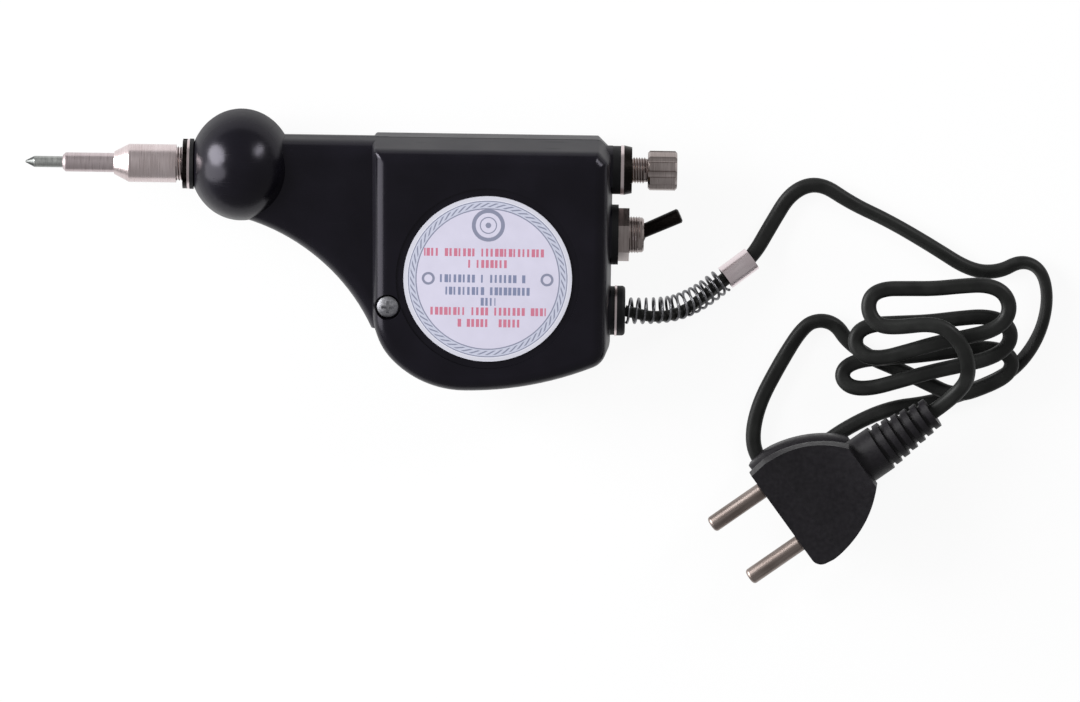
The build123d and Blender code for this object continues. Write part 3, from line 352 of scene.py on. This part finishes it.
def cord_finish(name):
    """Extruded vinyl: dull black, slightly chalky, a little uneven along it."""
    material, tree, shader, coords = start(name)
    base = linear(bpy.context.scene.engraver_colours.cord)
    cloud = noise(tree, coords, 7 * MM, 3)
    tree.links.new(
        ramp(tree, cloud, [(0.35, shade(base, 0.45)), (0.7, base)]), shader.inputs["Base Color"])
    tree.links.new(carried(tree, cloud, (0.3, 0.7), (0.42, 0.58)), shader.inputs["Roughness"])
    raised(tree, shader, noise(tree, coords, 0.6 * MM, 3), 0.006)
    shader.inputs["Specular IOR Level"].default_value = MOULDED_SPECULAR
    return material


# The label's rings as (radius, half width), in mm: the grey band near the rim, the hatches in it,
# the fine lines beside it, the rings of the emblem and the small ring at each side
BAND = (21.5, 0.95)
HATCHED = (21.5, 0.6)
FINE_LINES = ((22.65, 0.2), (20.4, 0.17))
EMBLEM_RINGS = ((4.15, 0.55), (2.3, 0.16), (0.0, 0.8))
SIDE_RING = (1.5, 0.35)
# Where the pale edge starts and where the plate is bare, how high the emblem's middle is above the
# label's and how far the side rings are from it, in mm
EDGE_RADIUS = 22.75
BARE_RADIUS = 22.9
EMBLEM_Y = 15.6
SIDE_X = 16.9
# Number of hatches round the band, how much they lean and the share of a hatch's pitch left bare
HATCHES = 60
HATCH_LEAN = 0.9
HATCH_GAP = 0.62
# Rows of plain bars: height of the row's middle above the centre and half its length, both in mm,
# and whether it is red
LABEL_ROWS = ((7.7, 18.2, True), (4.4, 5.6, True), (0.1, 13.6, False), (-3.5, 12.0, False),
              (-6.6, 2.3, False), (-9.4, 16.7, True), (-12.8, 9.6, True))
ROW_HEIGHT = 2.3
BAR_PITCH = 1.3
# Bars are counted from this far left of the centre, in mm. Their widths are shares of their pitch,
# and a bar whose chance is under the last share is left out
BARS_START = 50.0
NARROWEST_BAR = 0.32
BAR_SPREAD = 0.5
LEFT_OUT = 0.14


def distance_from(tree, x, y):
    """How far a point of the label is from the place where both of these are nought."""
    flat = add(tree, "ShaderNodeCombineXYZ", X=x, Y=y)
    away = add(tree, "ShaderNodeVectorMath", {"operation": "LENGTH"}, Vector=flat.outputs[0])
    return away.outputs["Value"]


def ring(tree, distance, radius, half):
    """A mask of one ring."""
    return maths(tree, "LESS_THAN", maths(tree, "ABSOLUTE", maths(tree, "SUBTRACT", distance, radius)), half)


def bar_row(tree, x, y, height, half):
    """A mask of one row of bars, each with its own width, and a few left out."""
    step = maths(tree, "DIVIDE", maths(tree, "ADD", x, BARS_START), BAR_PITCH)
    cell = add(tree, "ShaderNodeCombineXYZ", X=maths(tree, "FLOOR", step), Y=height)
    chance = add(tree, "ShaderNodeTexWhiteNoise", {"noise_dimensions": "2D"},
                 Vector=cell.outputs[0]).outputs["Value"]
    width = maths(tree, "ADD", maths(tree, "MULTIPLY", chance, BAR_SPREAD), NARROWEST_BAR)
    bar = maths(tree, "LESS_THAN", maths(tree, "FRACT", step), width)
    kept = maths(tree, "MULTIPLY", bar, maths(tree, "GREATER_THAN", chance, LEFT_OUT))
    off = maths(tree, "ABSOLUTE", maths(tree, "SUBTRACT", y, height))
    row = maths(tree, "LESS_THAN", off, ROW_HEIGHT / 2)
    within = maths(tree, "LESS_THAN", maths(tree, "ABSOLUTE", x), half)
    return maths(tree, "MULTIPLY", maths(tree, "MULTIPLY", row, within), kept)


def label_finish(name):
    """Printed aluminium plate: bright rim, hatched grey ring, pale face with rings and rows of bars."""
    colours = bpy.context.scene.engraver_colours
    paper, red, blue = (linear(c) for c in (colours.plate, colours.red_ink, colours.blue_ink))
    grey = linear("#7f8297")
    material, tree, shader, coords = start(name)
    centred = add(tree, "ShaderNodeMapping", {"vector_type": "POINT"}, Vector=coords,
                  Location=[-part / MM for part in LABEL], Scale=[1 / MM] * 3)
    place_in_mm = parted(tree, centred.outputs[0])
    x, y = place_in_mm["X"], place_in_mm["Y"]
    r = distance_from(tree, x, y)
    colour = ramp(tree, noise(tree, coords, 6 * MM, 3), [(0.3, shade(paper, 0.94)), (0.7, paper)])
    # Hatched ring near the rim
    colour = painted(tree, ring(tree, r, *BAND), colour, linear("#b9bccd"))
    turn = maths(tree, "MULTIPLY", maths(tree, "ARCTAN2", y, x), HATCHES / (2 * pi))
    slant = maths(tree, "FRACT", maths(tree, "ADD", turn, maths(tree, "MULTIPLY", r, HATCH_LEAN)))
    inked = maths(tree, "GREATER_THAN", slant, HATCH_GAP)
    hatch = maths(tree, "MULTIPLY", ring(tree, r, *HATCHED), inked)
    colour = painted(tree, hatch, colour, grey)
    for line in FINE_LINES:
        colour = painted(tree, ring(tree, r, *line), colour, grey)
    colour = painted(tree, maths(tree, "GREATER_THAN", r, EDGE_RADIUS), colour, linear("#dadae6"))
    # Ring emblem above, and two small rings at the sides
    emblem_r = distance_from(tree, x, maths(tree, "SUBTRACT", y, EMBLEM_Y))
    for line in EMBLEM_RINGS:
        colour = painted(tree, ring(tree, emblem_r, *line), colour, grey)
    side_r = distance_from(tree, maths(tree, "SUBTRACT", maths(tree, "ABSOLUTE", x), SIDE_X), y)
    colour = painted(tree, ring(tree, side_r, *SIDE_RING), colour, grey)
    for height, half, is_red in LABEL_ROWS:
        colour = painted(tree, bar_row(tree, x, y, height, half), colour, red if is_red else blue)
    tree.links.new(colour, shader.inputs["Base Color"])
    bare = maths(tree, "GREATER_THAN", r, BARE_RADIUS)
    tree.links.new(maths(tree, "MULTIPLY", bare, 0.3), shader.inputs["Metallic"])
    polish = maths(tree, "MULTIPLY", bare, 0.12)
    tree.links.new(maths(tree, "SUBTRACT", 0.42, polish), shader.inputs["Roughness"])
    raised(tree, shader, noise(tree, coords, 0.7 * MM, 2), 0.008)
    return material


def wear(obj, material):
    """Put one material on a piece."""
    obj.data.materials.clear()
    obj.data.materials.append(material)


# Edges flatter than this are shaded smooth on new pieces
SMOOTH_ANGLE = radians(35)


def finished(obj, name, body, material, slot, *replaced):
    """Name a new piece, apply its place, and give it its body and material. The slot is not used."""
    bpy.ops.object.select_all(action="DESELECT")
    obj.select_set(True)
    bpy.context.view_layer.objects.active = obj
    bpy.ops.object.transform_apply(location=True, rotation=True, scale=True)
    bpy.ops.object.shade_smooth_by_angle(angle=SMOOTH_ANGLE)
    obj.name = name
    obj.data.name = name
    wear(obj, material)
    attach(obj, body)
    if replaced:
        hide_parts(*replaced)
    return obj


def apply_modifiers(obj):
    """Apply every modifier of a piece."""
    bpy.context.view_layer.objects.active = obj
    for modifier in list(obj.modifiers):
        bpy.ops.object.modifier_apply(modifier=modifier.name)


# Corners of a round wire's section, as unit steps along and out
WIRE_SIDES = 12
WIRE_CORNERS = [(cos(2 * pi * step / WIRE_SIDES), sin(2 * pi * step / WIRE_SIDES))
                for step in range(WIRE_SIDES)]
# Steps in one turn of a thread or a spring
STEPS_PER_TURN = 40
# A thread's ridge: half its width as a share of the pitch, and how far its flanks and its root
# are sunk in the rod as shares of its height
RIDGE_HALF = 0.45
FLANK_SUNK = 0.3
ROOT_SUNK = 0.5


def wound(profile, centre, pitch, turns):
    """Wind a closed flat profile round an X axis through centre, and close its two ends."""
    axis = bpy.data.objects.new("axis", None)
    bpy.context.scene.collection.objects.link(axis)
    axis.location = centre
    axis.rotation_euler = (0, pi / 2, 0)
    bpy.context.view_layer.update()
    screw = profile.modifiers.new("turns", "SCREW")
    screw.object = axis
    screw.axis = "Z"
    screw.screw_offset = pitch
    screw.iterations = turns
    screw.steps = screw.render_steps = STEPS_PER_TURN
    screw.use_merge_vertices = False
    apply_modifiers(profile)
    bpy.data.objects.remove(axis)
    bpy.ops.object.mode_set(mode="EDIT")
    bpy.ops.mesh.select_all(action="SELECT")
    bpy.ops.mesh.fill_holes(sides=WIRE_SIDES)
    bpy.ops.mesh.normals_make_consistent(inside=False)
    bpy.ops.object.mode_set(mode="OBJECT")
    return profile


def loop(corners):
    """A closed loop of edges through these corners."""
    bpy.ops.object.select_all(action="DESELECT")
    bpy.ops.mesh.primitive_circle_add(vertices=len(corners), radius=1, location=(0, 0, 0))
    profile = bpy.context.object
    for vertex, corner in zip(profile.data.vertices, corners):
        vertex.co = corner
    return profile


def thread(axis_point, first, last, root, crest):
    """A V ridge wound round an X axis from first to last, between two radii."""
    pitch = bpy.context.scene.engraver_sizes.thread_pitch
    height = crest - root
    half, flank = RIDGE_HALF * pitch, -height * FLANK_SUNK
    corners = ((-half, flank), (0, height), (half, flank), (0, -height * ROOT_SUNK))
    ridge = loop([(first + along, axis_point[1], axis_point[2] + root + out)
                  for along, out in corners])
    return wound(ridge, (first, axis_point[1], axis_point[2]), pitch,
                 max(1, round((last - first) / pitch)))


class ENGRAVER_OT_finishes(bpy.types.Operator):
    """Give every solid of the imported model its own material"""

    bl_idname = "engraver.finishes"
    bl_label = "Finishes"

    def execute(self, context):
        for name, worn_by in WORN_BY.items():
            material = plain_finish(name)
            for node in worn_by:
                wear(nodes[node], material)
        wear(nodes["needle"], point_finish("Ground carbide"))
        black = housing_finish("Moulded black ABS")
        wear(nodes["housing_front"], black)
        wear(nodes["housing_rear"], black)
        sheath = cord_finish("Extruded vinyl sheath")
        for node in ("cord_inner", "cord_lead", "cord_hank", "cord_tail"):
            wear(nodes[node], sheath)
        wear(nodes["label_disc"], label_finish("Printed aluminium plate"))
        return {"FINISHED"}


# Root and crest radii of the threads on the nose and the switch, and the crest of the adjusting
# screw's, in mm. The switch's thread stops short of the bush's end, and the screw's of its knob and tip.
NOSE_THREAD = (4.55, 4.95)
SWITCH_THREAD = (4.95, 5.3)
SCREW_CREST = 3.8
SWITCH_LEAD = 0.9
SCREW_LEAD = 0.8
KNOB_LEAD = 0.5
# The adjusting screw's plain tip and its spigot in the knob, and the break of its edges, in mm
TIP_LENGTH = 11
TIP_RADIUS = 2.4
SPIGOT_RADIUS = 2.5
SPIGOT_SHOULDER = 0.05
BROKEN_EDGE = 0.2


class ENGRAVER_OT_threads(bpy.types.Operator):
    """Wind the threads that show on the nose and the switch bush"""

    bl_idname = "engraver.threads"
    bl_label = "Threads"

    def execute(self, context):
        nickel = bpy.data.materials["Dulled nickel plate"]
        locknut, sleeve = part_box("guide_locknut"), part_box("guide_sleeve")
        nose = thread(AXIS, sleeve[1][0], locknut[0][0], *(radius * MM for radius in NOSE_THREAD))
        finished(nose, "nose_thread", "housing", nickel, "nickel")
        nut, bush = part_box("switch_nut"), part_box("switch_bush")
        switch = thread(SWITCH, nut[1][0], bush[1][0] - SWITCH_LEAD * MM,
                        *(radius * MM for radius in SWITCH_THREAD))
        finished(switch, "switch_thread", "housing", nickel, "nickel")
        return {"FINISHED"}


class ENGRAVER_OT_adjusting_screw(bpy.types.Operator):
    """Turn the adjusting screw with its plain tip, cut thread and spigot"""

    bl_idname = "engraver.adjusting_screw"
    bl_label = "Adjusting screw"

    def execute(self, context):
        sizes = context.scene.engraver_sizes
        low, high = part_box("adjuster_screw")
        knob_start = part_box("adjuster_knob")[0][0]
        tip_end = low[0] + TIP_LENGTH * MM
        shoulder = knob_start - SPIGOT_SHOULDER * MM
        stretches = ((low[0], tip_end, TIP_RADIUS * MM), (tip_end, shoulder, sizes.screw_root),
                     (shoulder, high[0], SPIGOT_RADIUS * MM))
        made = []
        for first, last, radius in stretches:
            bpy.ops.object.select_all(action="DESELECT")
            bpy.ops.mesh.primitive_cylinder_add(
                vertices=64, radius=radius, depth=last - first,
                location=((first + last) / 2, AXIS.y, AXIS.z), rotation=(0, pi / 2, 0))
            rod = context.object
            edge = rod.modifiers.new("edge", "BEVEL")
            edge.width = BROKEN_EDGE * MM
            edge.segments = 2
            apply_modifiers(rod)
            made.append(rod)
        made.append(thread(AXIS, tip_end + SCREW_LEAD * MM, knob_start - KNOB_LEAD * MM,
                           sizes.screw_root, SCREW_CREST * MM))
        bpy.ops.object.select_all(action="DESELECT")
        for rod in made:
            rod.select_set(True)
        context.view_layer.objects.active = made[0]
        bpy.ops.object.join()
        screw = context.object
        finished(screw, "adjusting_screw_cut", "adjusting_screw",
                 bpy.data.materials["Dulled nickel plate"], "nickel", "adjuster_screw")
        return {"FINISHED"}


class ENGRAVER_OT_return_spring(bpy.types.Operator):
    """Wind the return spring, which shortens as the magnet draws the needle in"""

    bl_idname = "engraver.return_spring"
    bl_label = "Return spring"

    def execute(self, context):
        sizes = context.scene.engraver_sizes
        low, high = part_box("return_spring")
        radius = (high[2] - low[2] - sizes.spring_wire) / 2
        first = low[0] + sizes.spring_wire / 2
        length = high[0] - low[0]
        section = loop([(first + along * sizes.spring_wire / 2, AXIS.y,
                         AXIS.z + radius + out * sizes.spring_wire / 2)
                        for along, out in WIRE_CORNERS])
        spring = wound(section, (first, AXIS.y, AXIS.z),
                       (length - sizes.spring_wire) / sizes.spring_turns, sizes.spring_turns)
        finished(spring, "return_spring_coil", "housing",
                 bpy.data.materials["Drawn spring wire"], "spring_steel", "return_spring")
        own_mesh(spring)
        return {"FINISHED"}


# Height of the cord's middle where it lies on the table, in mm
LYING = 2.2
# The cord's route from the gland to its hank, in millimetres from the ball's centre and the
# needle's axis. Its first points keep to the lower side of the spring guard.
LEAD_POINTS = (
    (110.3, -41.0, 16.0), (114.0, -41.9, 16.0), (118.3, -42.8, 15.8), (125.3, -42.4, 13.8),
    (131.7, -39.1, 9.7), (137.8, -34.2, 6.1), (146.6, -27.6, 4.2), (152.0, -18.0, LYING),
    (157.6, -8.2, LYING), (165.6, -5.2, LYING), (175.0, -11.4, LYING), (186.0, -16.4, LYING),
    (198.5, -23.6, LYING), (209.6, -30.6, LYING), (217.8, -31.0, LYING), (224.4, -27.2, LYING),
    (230.4, -30.0, LYING), (232.4, -39.0, LYING), (230.0, -50.0, LYING), (223.0, -60.0, LYING),
    (211.0, -66.0, LYING), (199.0, -69.8, LYING), (186.5, -71.5, LYING), (173.0, -78.5, LYING),
    (162.5, -87.5, LYING), (154.0, -91.5, LYING), (147.6, -84.5, LYING), (148.8, -72.0, LYING),
    (156.0, -57.5, LYING), (162.0, -47.6, LYING), (166.6, -45.6, LYING), (171.4, -47.0, LYING),
    (174.6, -51.8, LYING), (181.0, -56.5, LYING), (189.0, -59.5, 3.2), (197.5, -63.0, 5.6),
)
# How far the flat cord is turned on its edge, in degrees, at each of those points
LEAD_TILTS = (85, 85, 80, 75, 65, 45, 20, 0, 0, 15, 35, 45, 40, 30, 25, 40, 70, 80, 70, 50, 35, 25,
              15, 5, 0, 0, 0, 0, 10, 30, 30, 15, 0, 0, 0, 0)
# The cord's points from its hank to the plug, and the plug's face, its direction in plan and how far
# behind its face its boot ends
TAIL_POINTS = ((205.8, -46.2, 23.2), (209.4, -54.6, 20.4))
PLUG_FACE = (156.4, -101.2, 14.3)
PLUG_ANGLE = radians(36.25)
BOOT_LENGTH = 53.0
# Straight runs of the cord into the hank, out of it and into the plug's boot, in mm
HANK_ENTRY = 10.4
HANK_EXIT = 12.5
BOOT_ENTRY = 11
# The hank's loops: where the first one starts, how many there are, the places of their left and
# right ends and how far each turn moves these, their half width and what each turn adds to it,
# how much they narrow at one end and square off, and the height, the climb and the dip of a turn
FIRST_TURN = 0.125
TURNS = 2.75
POINTS_PER_TURN = 16
LEFT_END, LEFT_STEP = Vector((170.4, -69.5, 0)), Vector((3.4, 11.0, 0))
RIGHT_END, RIGHT_STEP = Vector((222.6, -58.5, 0)), Vector((-0.9, 9.4, 0))
HALF_WIDTH, WIDTH_STEP = 5.2, 0.8
NARROWING = 0.1
SQUARING = 0.22
LOOP_HEIGHT, CLIMB, DIP = 5.8, 5.1, 1.2
# A step along the loops, in turns, over which their direction is measured
SMALL_TURN = 0.001


def hank_point(turns):
    """A point of the wound loops, a number of turns after the foot of the first one."""
    angle = 2 * pi * turns - pi / 2
    left = LEFT_END + LEFT_STEP * turns
    right = RIGHT_END + RIGHT_STEP * turns
    along = (right - left) / 2
    side = Vector((0, 0, 1)).cross(along).normalized()
    width = (HALF_WIDTH + WIDTH_STEP * turns) * (1 - NARROWING * cos(angle))
    across = width * (sin(angle) + SQUARING * sin(3 * angle))
    height = LOOP_HEIGHT + CLIMB * turns - DIP * sin(angle)
    return (left + right) / 2 + along * cos(angle) + side * across + Vector((0, 0, height))


def hank_direction(turns):
    """The way the loops run there."""
    return (hank_point(turns + SMALL_TURN) - hank_point(turns - SMALL_TURN)).normalized()


def cord_points():
    """Control points of the whole cord, from the gland to the plug's boot."""
    steps = int(TURNS * POINTS_PER_TURN)
    loops = [hank_point(FIRST_TURN + TURNS * step / steps) for step in range(steps + 1)]
    entry, leave = hank_direction(FIRST_TURN), hank_direction(FIRST_TURN + TURNS)
    away = Vector((cos(PLUG_ANGLE), sin(PLUG_ANGLE), 0))
    boot = Vector(PLUG_FACE) + away * BOOT_LENGTH
    points = [*LEAD_POINTS, loops[0] - entry * HANK_ENTRY, *loops, loops[-1] + leave * HANK_EXIT,
              *TAIL_POINTS, boot + away * BOOT_ENTRY, boot]
    return [place(*point) for point in points]


# Share of its thickness that the cord has at the waist between its two cores
CORD_WAIST = 0.86


def cord_section(width, thickness):
    """Two cores side by side: a flat closed curve with a shallow waist along both faces."""
    bpy.ops.object.select_all(action="DESELECT")
    bpy.ops.curve.primitive_bezier_circle_add(radius=1)
    section = bpy.context.object
    bpy.ops.object.mode_set(mode="EDIT")
    bpy.ops.curve.select_all(action="SELECT")
    bpy.ops.curve.subdivide(number_cuts=1)
    bpy.ops.object.mode_set(mode="OBJECT")
    for knot in section.data.splines[0].bezier_points:
        at_waist = abs(knot.co.x) < 0.1
        for point in (knot.co, knot.handle_left, knot.handle_right):
            point.x *= width / 2
            point.y *= thickness / 2 * (CORD_WAIST if at_waist else 1)
    section.data.resolution_u = 3
    return section


class ENGRAVER_OT_cord(bpy.types.Operator):
    """Lay the flat mains cord from the gland through its hank to the plug"""

    bl_idname = "engraver.cord"
    bl_label = "Cord"

    def execute(self, context):
        sizes = context.scene.engraver_sizes
        points = cord_points()
        curve = bpy.data.curves.new("mains_cord", "CURVE")
        curve.dimensions = "3D"
        curve.twist_mode = "Z_UP"
        curve.resolution_u = curve.render_resolution_u = 8
        spline = curve.splines.new("NURBS")
        spline.points.add(len(points) - 1)
        for control, point in zip(spline.points, points):
            control.co = (*point, 1)
        for control, tilt in zip(spline.points, LEAD_TILTS):
            control.tilt = radians(tilt)
        spline.order_u = 3
        spline.use_endpoint_u = True
        line = bpy.data.objects.new("mains_cord", curve)
        context.scene.collection.objects.link(line)
        context.view_layer.update()
        bare = bpy.data.meshes.new_from_object(line)
        section = cord_section(sizes.cord_width, sizes.cord_thickness)
        curve.bevel_mode = "OBJECT"
        curve.bevel_object = section
        curve.use_fill_caps = True
        bpy.ops.object.select_all(action="DESELECT")
        line.select_set(True)
        context.view_layer.objects.active = line
        bpy.ops.object.convert(target="MESH")
        cord = context.object
        bpy.data.objects.remove(section)
        finished(cord, "mains_cord", "housing", bpy.data.materials["Extruded vinyl sheath"], "cord",
                 "cord_lead", "cord_hank", "cord_tail")
        return {"FINISHED"}


# The photograph's width in pixels and its scale in pixels per millimetre
PHOTO_WIDTH = 1080
PHOTO_SCALE = 3.5
# The camera: focal length and sensor in mm, how far it is tipped back and rolled, the place that
# it looks at and how far from there towards the camera the photograph's scale holds, in mm
LENS, SENSOR = 300.0, 36.0
TIP, ROLL = radians(12), radians(0.85)
LOOKED_AT = (86.1, -56.6, 0)
SCALE_HEIGHT = 27.5
# Soft lamps round the tool: name, the way to it along the picture's right, up and out of it,
# its two sizes in metres and its power in watts
LAMPS = (
    ("left box", (-0.86, 0.28, 0.44), (0.65, 0.95), 25),
    ("left window", (-0.90, -0.18, 0.36), (0.7, 1.3), 10),
    ("right box", (0.62, 0.45, 0.60), (0.34, 0.55), 5),
)
LAMP_DISTANCE = 1.2
LIT_PLACE = (60, -30, 10)


# The table's width and how far it lies under the tool, in metres, so that the two never touch
TABLE_WIDTH = 8
TABLE_DROP = 0.0002


def seen_directly(tree):
    """One for rays from the camera and for reflected and refracted ones, nought for the rest."""
    rays = add(tree, "ShaderNodeLightPath").outputs
    seen = maths(tree, "MAXIMUM", rays["Is Camera Ray"], rays["Is Glossy Ray"])
    return maths(tree, "MAXIMUM", seen, rays["Is Transmission Ray"])


def either(tree, share, first, second, output):
    """Mix two shaders by a share and put them on the tree's output."""
    both = add(tree, "ShaderNodeMixShader", Fac=share)
    tree.links.new(first, both.inputs[1])
    tree.links.new(second, both.inputs[2])
    tree.links.new(both.outputs[0], tree.nodes[output].inputs["Surface"])


def lay_table():
    """A wide pale table top just under the tool, which looks white and takes soft shadows."""
    bpy.ops.object.select_all(action="DESELECT")
    bpy.ops.mesh.primitive_plane_add(size=TABLE_WIDTH, location=(0, 0, -TABLE_DROP))
    table = bpy.context.object
    table.name = "table"
    material, tree, shader, coords = start("Painted table top")
    pale = linear(bpy.context.scene.engraver_colours.floor)
    tree.links.new(
        ramp(tree, noise(tree, coords, 4 * MM, 3), [(0.3, shade(pale, 0.985)), (0.7, pale)]),
        shader.inputs["Base Color"])
    shader.inputs["Roughness"].default_value = 0.9
    glow = add(tree, "ShaderNodeEmission", Color=(1, 1, 1, 1), Strength=1.0)
    share = maths(tree, "MULTIPLY", seen_directly(tree), 0.92)
    either(tree, share, shader.outputs[0], glow.outputs[0], "Material Output")
    wear(table, material)


def light_world():
    """A dim even room, a little brighter where it is seen or reflected."""
    world = bpy.data.worlds.new("studio")
    world.use_nodes = True
    bpy.context.scene.world = world
    tree = world.node_tree
    room = add(tree, "ShaderNodeBackground", Color=(1, 1, 1, 1), Strength=0.25)
    white = add(tree, "ShaderNodeBackground", Color=(1, 1, 1, 1), Strength=0.34)
    either(tree, seen_directly(tree), room.outputs[0], white.outputs[0], "World Output")


def picture_axes():
    """The picture's right, its up and the way from it to the camera."""
    back = Vector((0, sin(TIP), cos(TIP)))
    upright = Vector((0, cos(TIP), -sin(TIP)))
    across = Vector((1, 0, 0))
    return across * cos(ROLL) + upright * sin(ROLL), upright * cos(ROLL) - across * sin(ROLL), back


def hang_lamps():
    """The soft lamps, each turned to the tool."""
    right, up, back = picture_axes()
    for name, way, size, power in LAMPS:
        toward = (right * way[0] + up * way[1] + back * way[2]).normalized()
        bpy.ops.object.light_add(type="AREA", location=place(*LIT_PLACE) + toward * LAMP_DISTANCE)
        lamp = bpy.context.object
        lamp.name = name
        lamp.data.shape = "ELLIPSE"
        lamp.data.size, lamp.data.size_y = size
        lamp.data.energy = power
        lamp.rotation_euler = toward.to_track_quat("Z", "Y").to_euler()


def stand_camera():
    """A long lens from above, tipped a little back and rolled by a degree."""
    right, up, back = picture_axes()
    distance = LENS * PHOTO_WIDTH / PHOTO_SCALE * MM / SENSOR + SCALE_HEIGHT * MM
    spot = place(*LOOKED_AT) + back * distance
    bpy.ops.object.camera_add()
    camera = bpy.context.object
    camera.matrix_world = Matrix((
        (right.x, up.x, back.x, spot.x),
        (right.y, up.y, back.y, spot.y),
        (right.z, up.z, back.z, spot.z),
        (0, 0, 0, 1),
    ))
    camera.data.lens = LENS
    camera.data.sensor_width = SENSOR
    camera.data.sensor_fit = "HORIZONTAL"
    camera.data.clip_end = 20
    bpy.context.scene.camera = camera


class ENGRAVER_OT_stage(bpy.types.Operator):
    """Set the table, the lamps, the world and the camera"""

    bl_idname = "engraver.stage"
    bl_label = "Stage"

    def execute(self, context):
        context.scene.view_settings.view_transform = "Standard"
        lay_table()
        light_world()
        hang_lamps()
        stand_camera()
        return {"FINISHED"}


OPERATORS = (ENGRAVER_OT_stage, ENGRAVER_OT_finishes, ENGRAVER_OT_cord, ENGRAVER_OT_threads,
             ENGRAVER_OT_adjusting_screw, ENGRAVER_OT_return_spring)


class ENGRAVER_PT_panel(bpy.types.Panel):
    """Lists the sizes, the colours and the pieces"""

    bl_label = "Engraver"
    bl_space_type = "VIEW_3D"
    bl_region_type = "UI"
    bl_category = "Engraver"

    def draw(self, context):
        for group in (context.scene.engraver_sizes, context.scene.engraver_colours):
            for name in group.__annotations__:
                self.layout.prop(group, name)
        for operator in OPERATORS:
            self.layout.operator(operator.bl_idname)


CLASSES = (EngraverSizes, EngraverColours, *OPERATORS, ENGRAVER_PT_panel)


def register():
    """Register the classes and their properties."""
    for item in CLASSES:
        bpy.utils.register_class(item)
    bpy.types.Scene.engraver_sizes = bpy.props.PointerProperty(type=EngraverSizes)
    bpy.types.Scene.engraver_colours = bpy.props.PointerProperty(type=EngraverColours)


def unregister():
    """Take them out again."""
    del bpy.types.Scene.engraver_sizes
    del bpy.types.Scene.engraver_colours
    for item in reversed(CLASSES):
        bpy.utils.unregister_class(item)


def main():
    """Build the stage, the finishes and every new piece."""
    register()
    bpy.ops.engraver.stage()
    bpy.ops.engraver.finishes()
    bpy.ops.engraver.cord()
    bpy.ops.engraver.threads()
    bpy.ops.engraver.adjusting_screw()
    bpy.ops.engraver.return_spring()


if __name__ == "__main__":
    main()
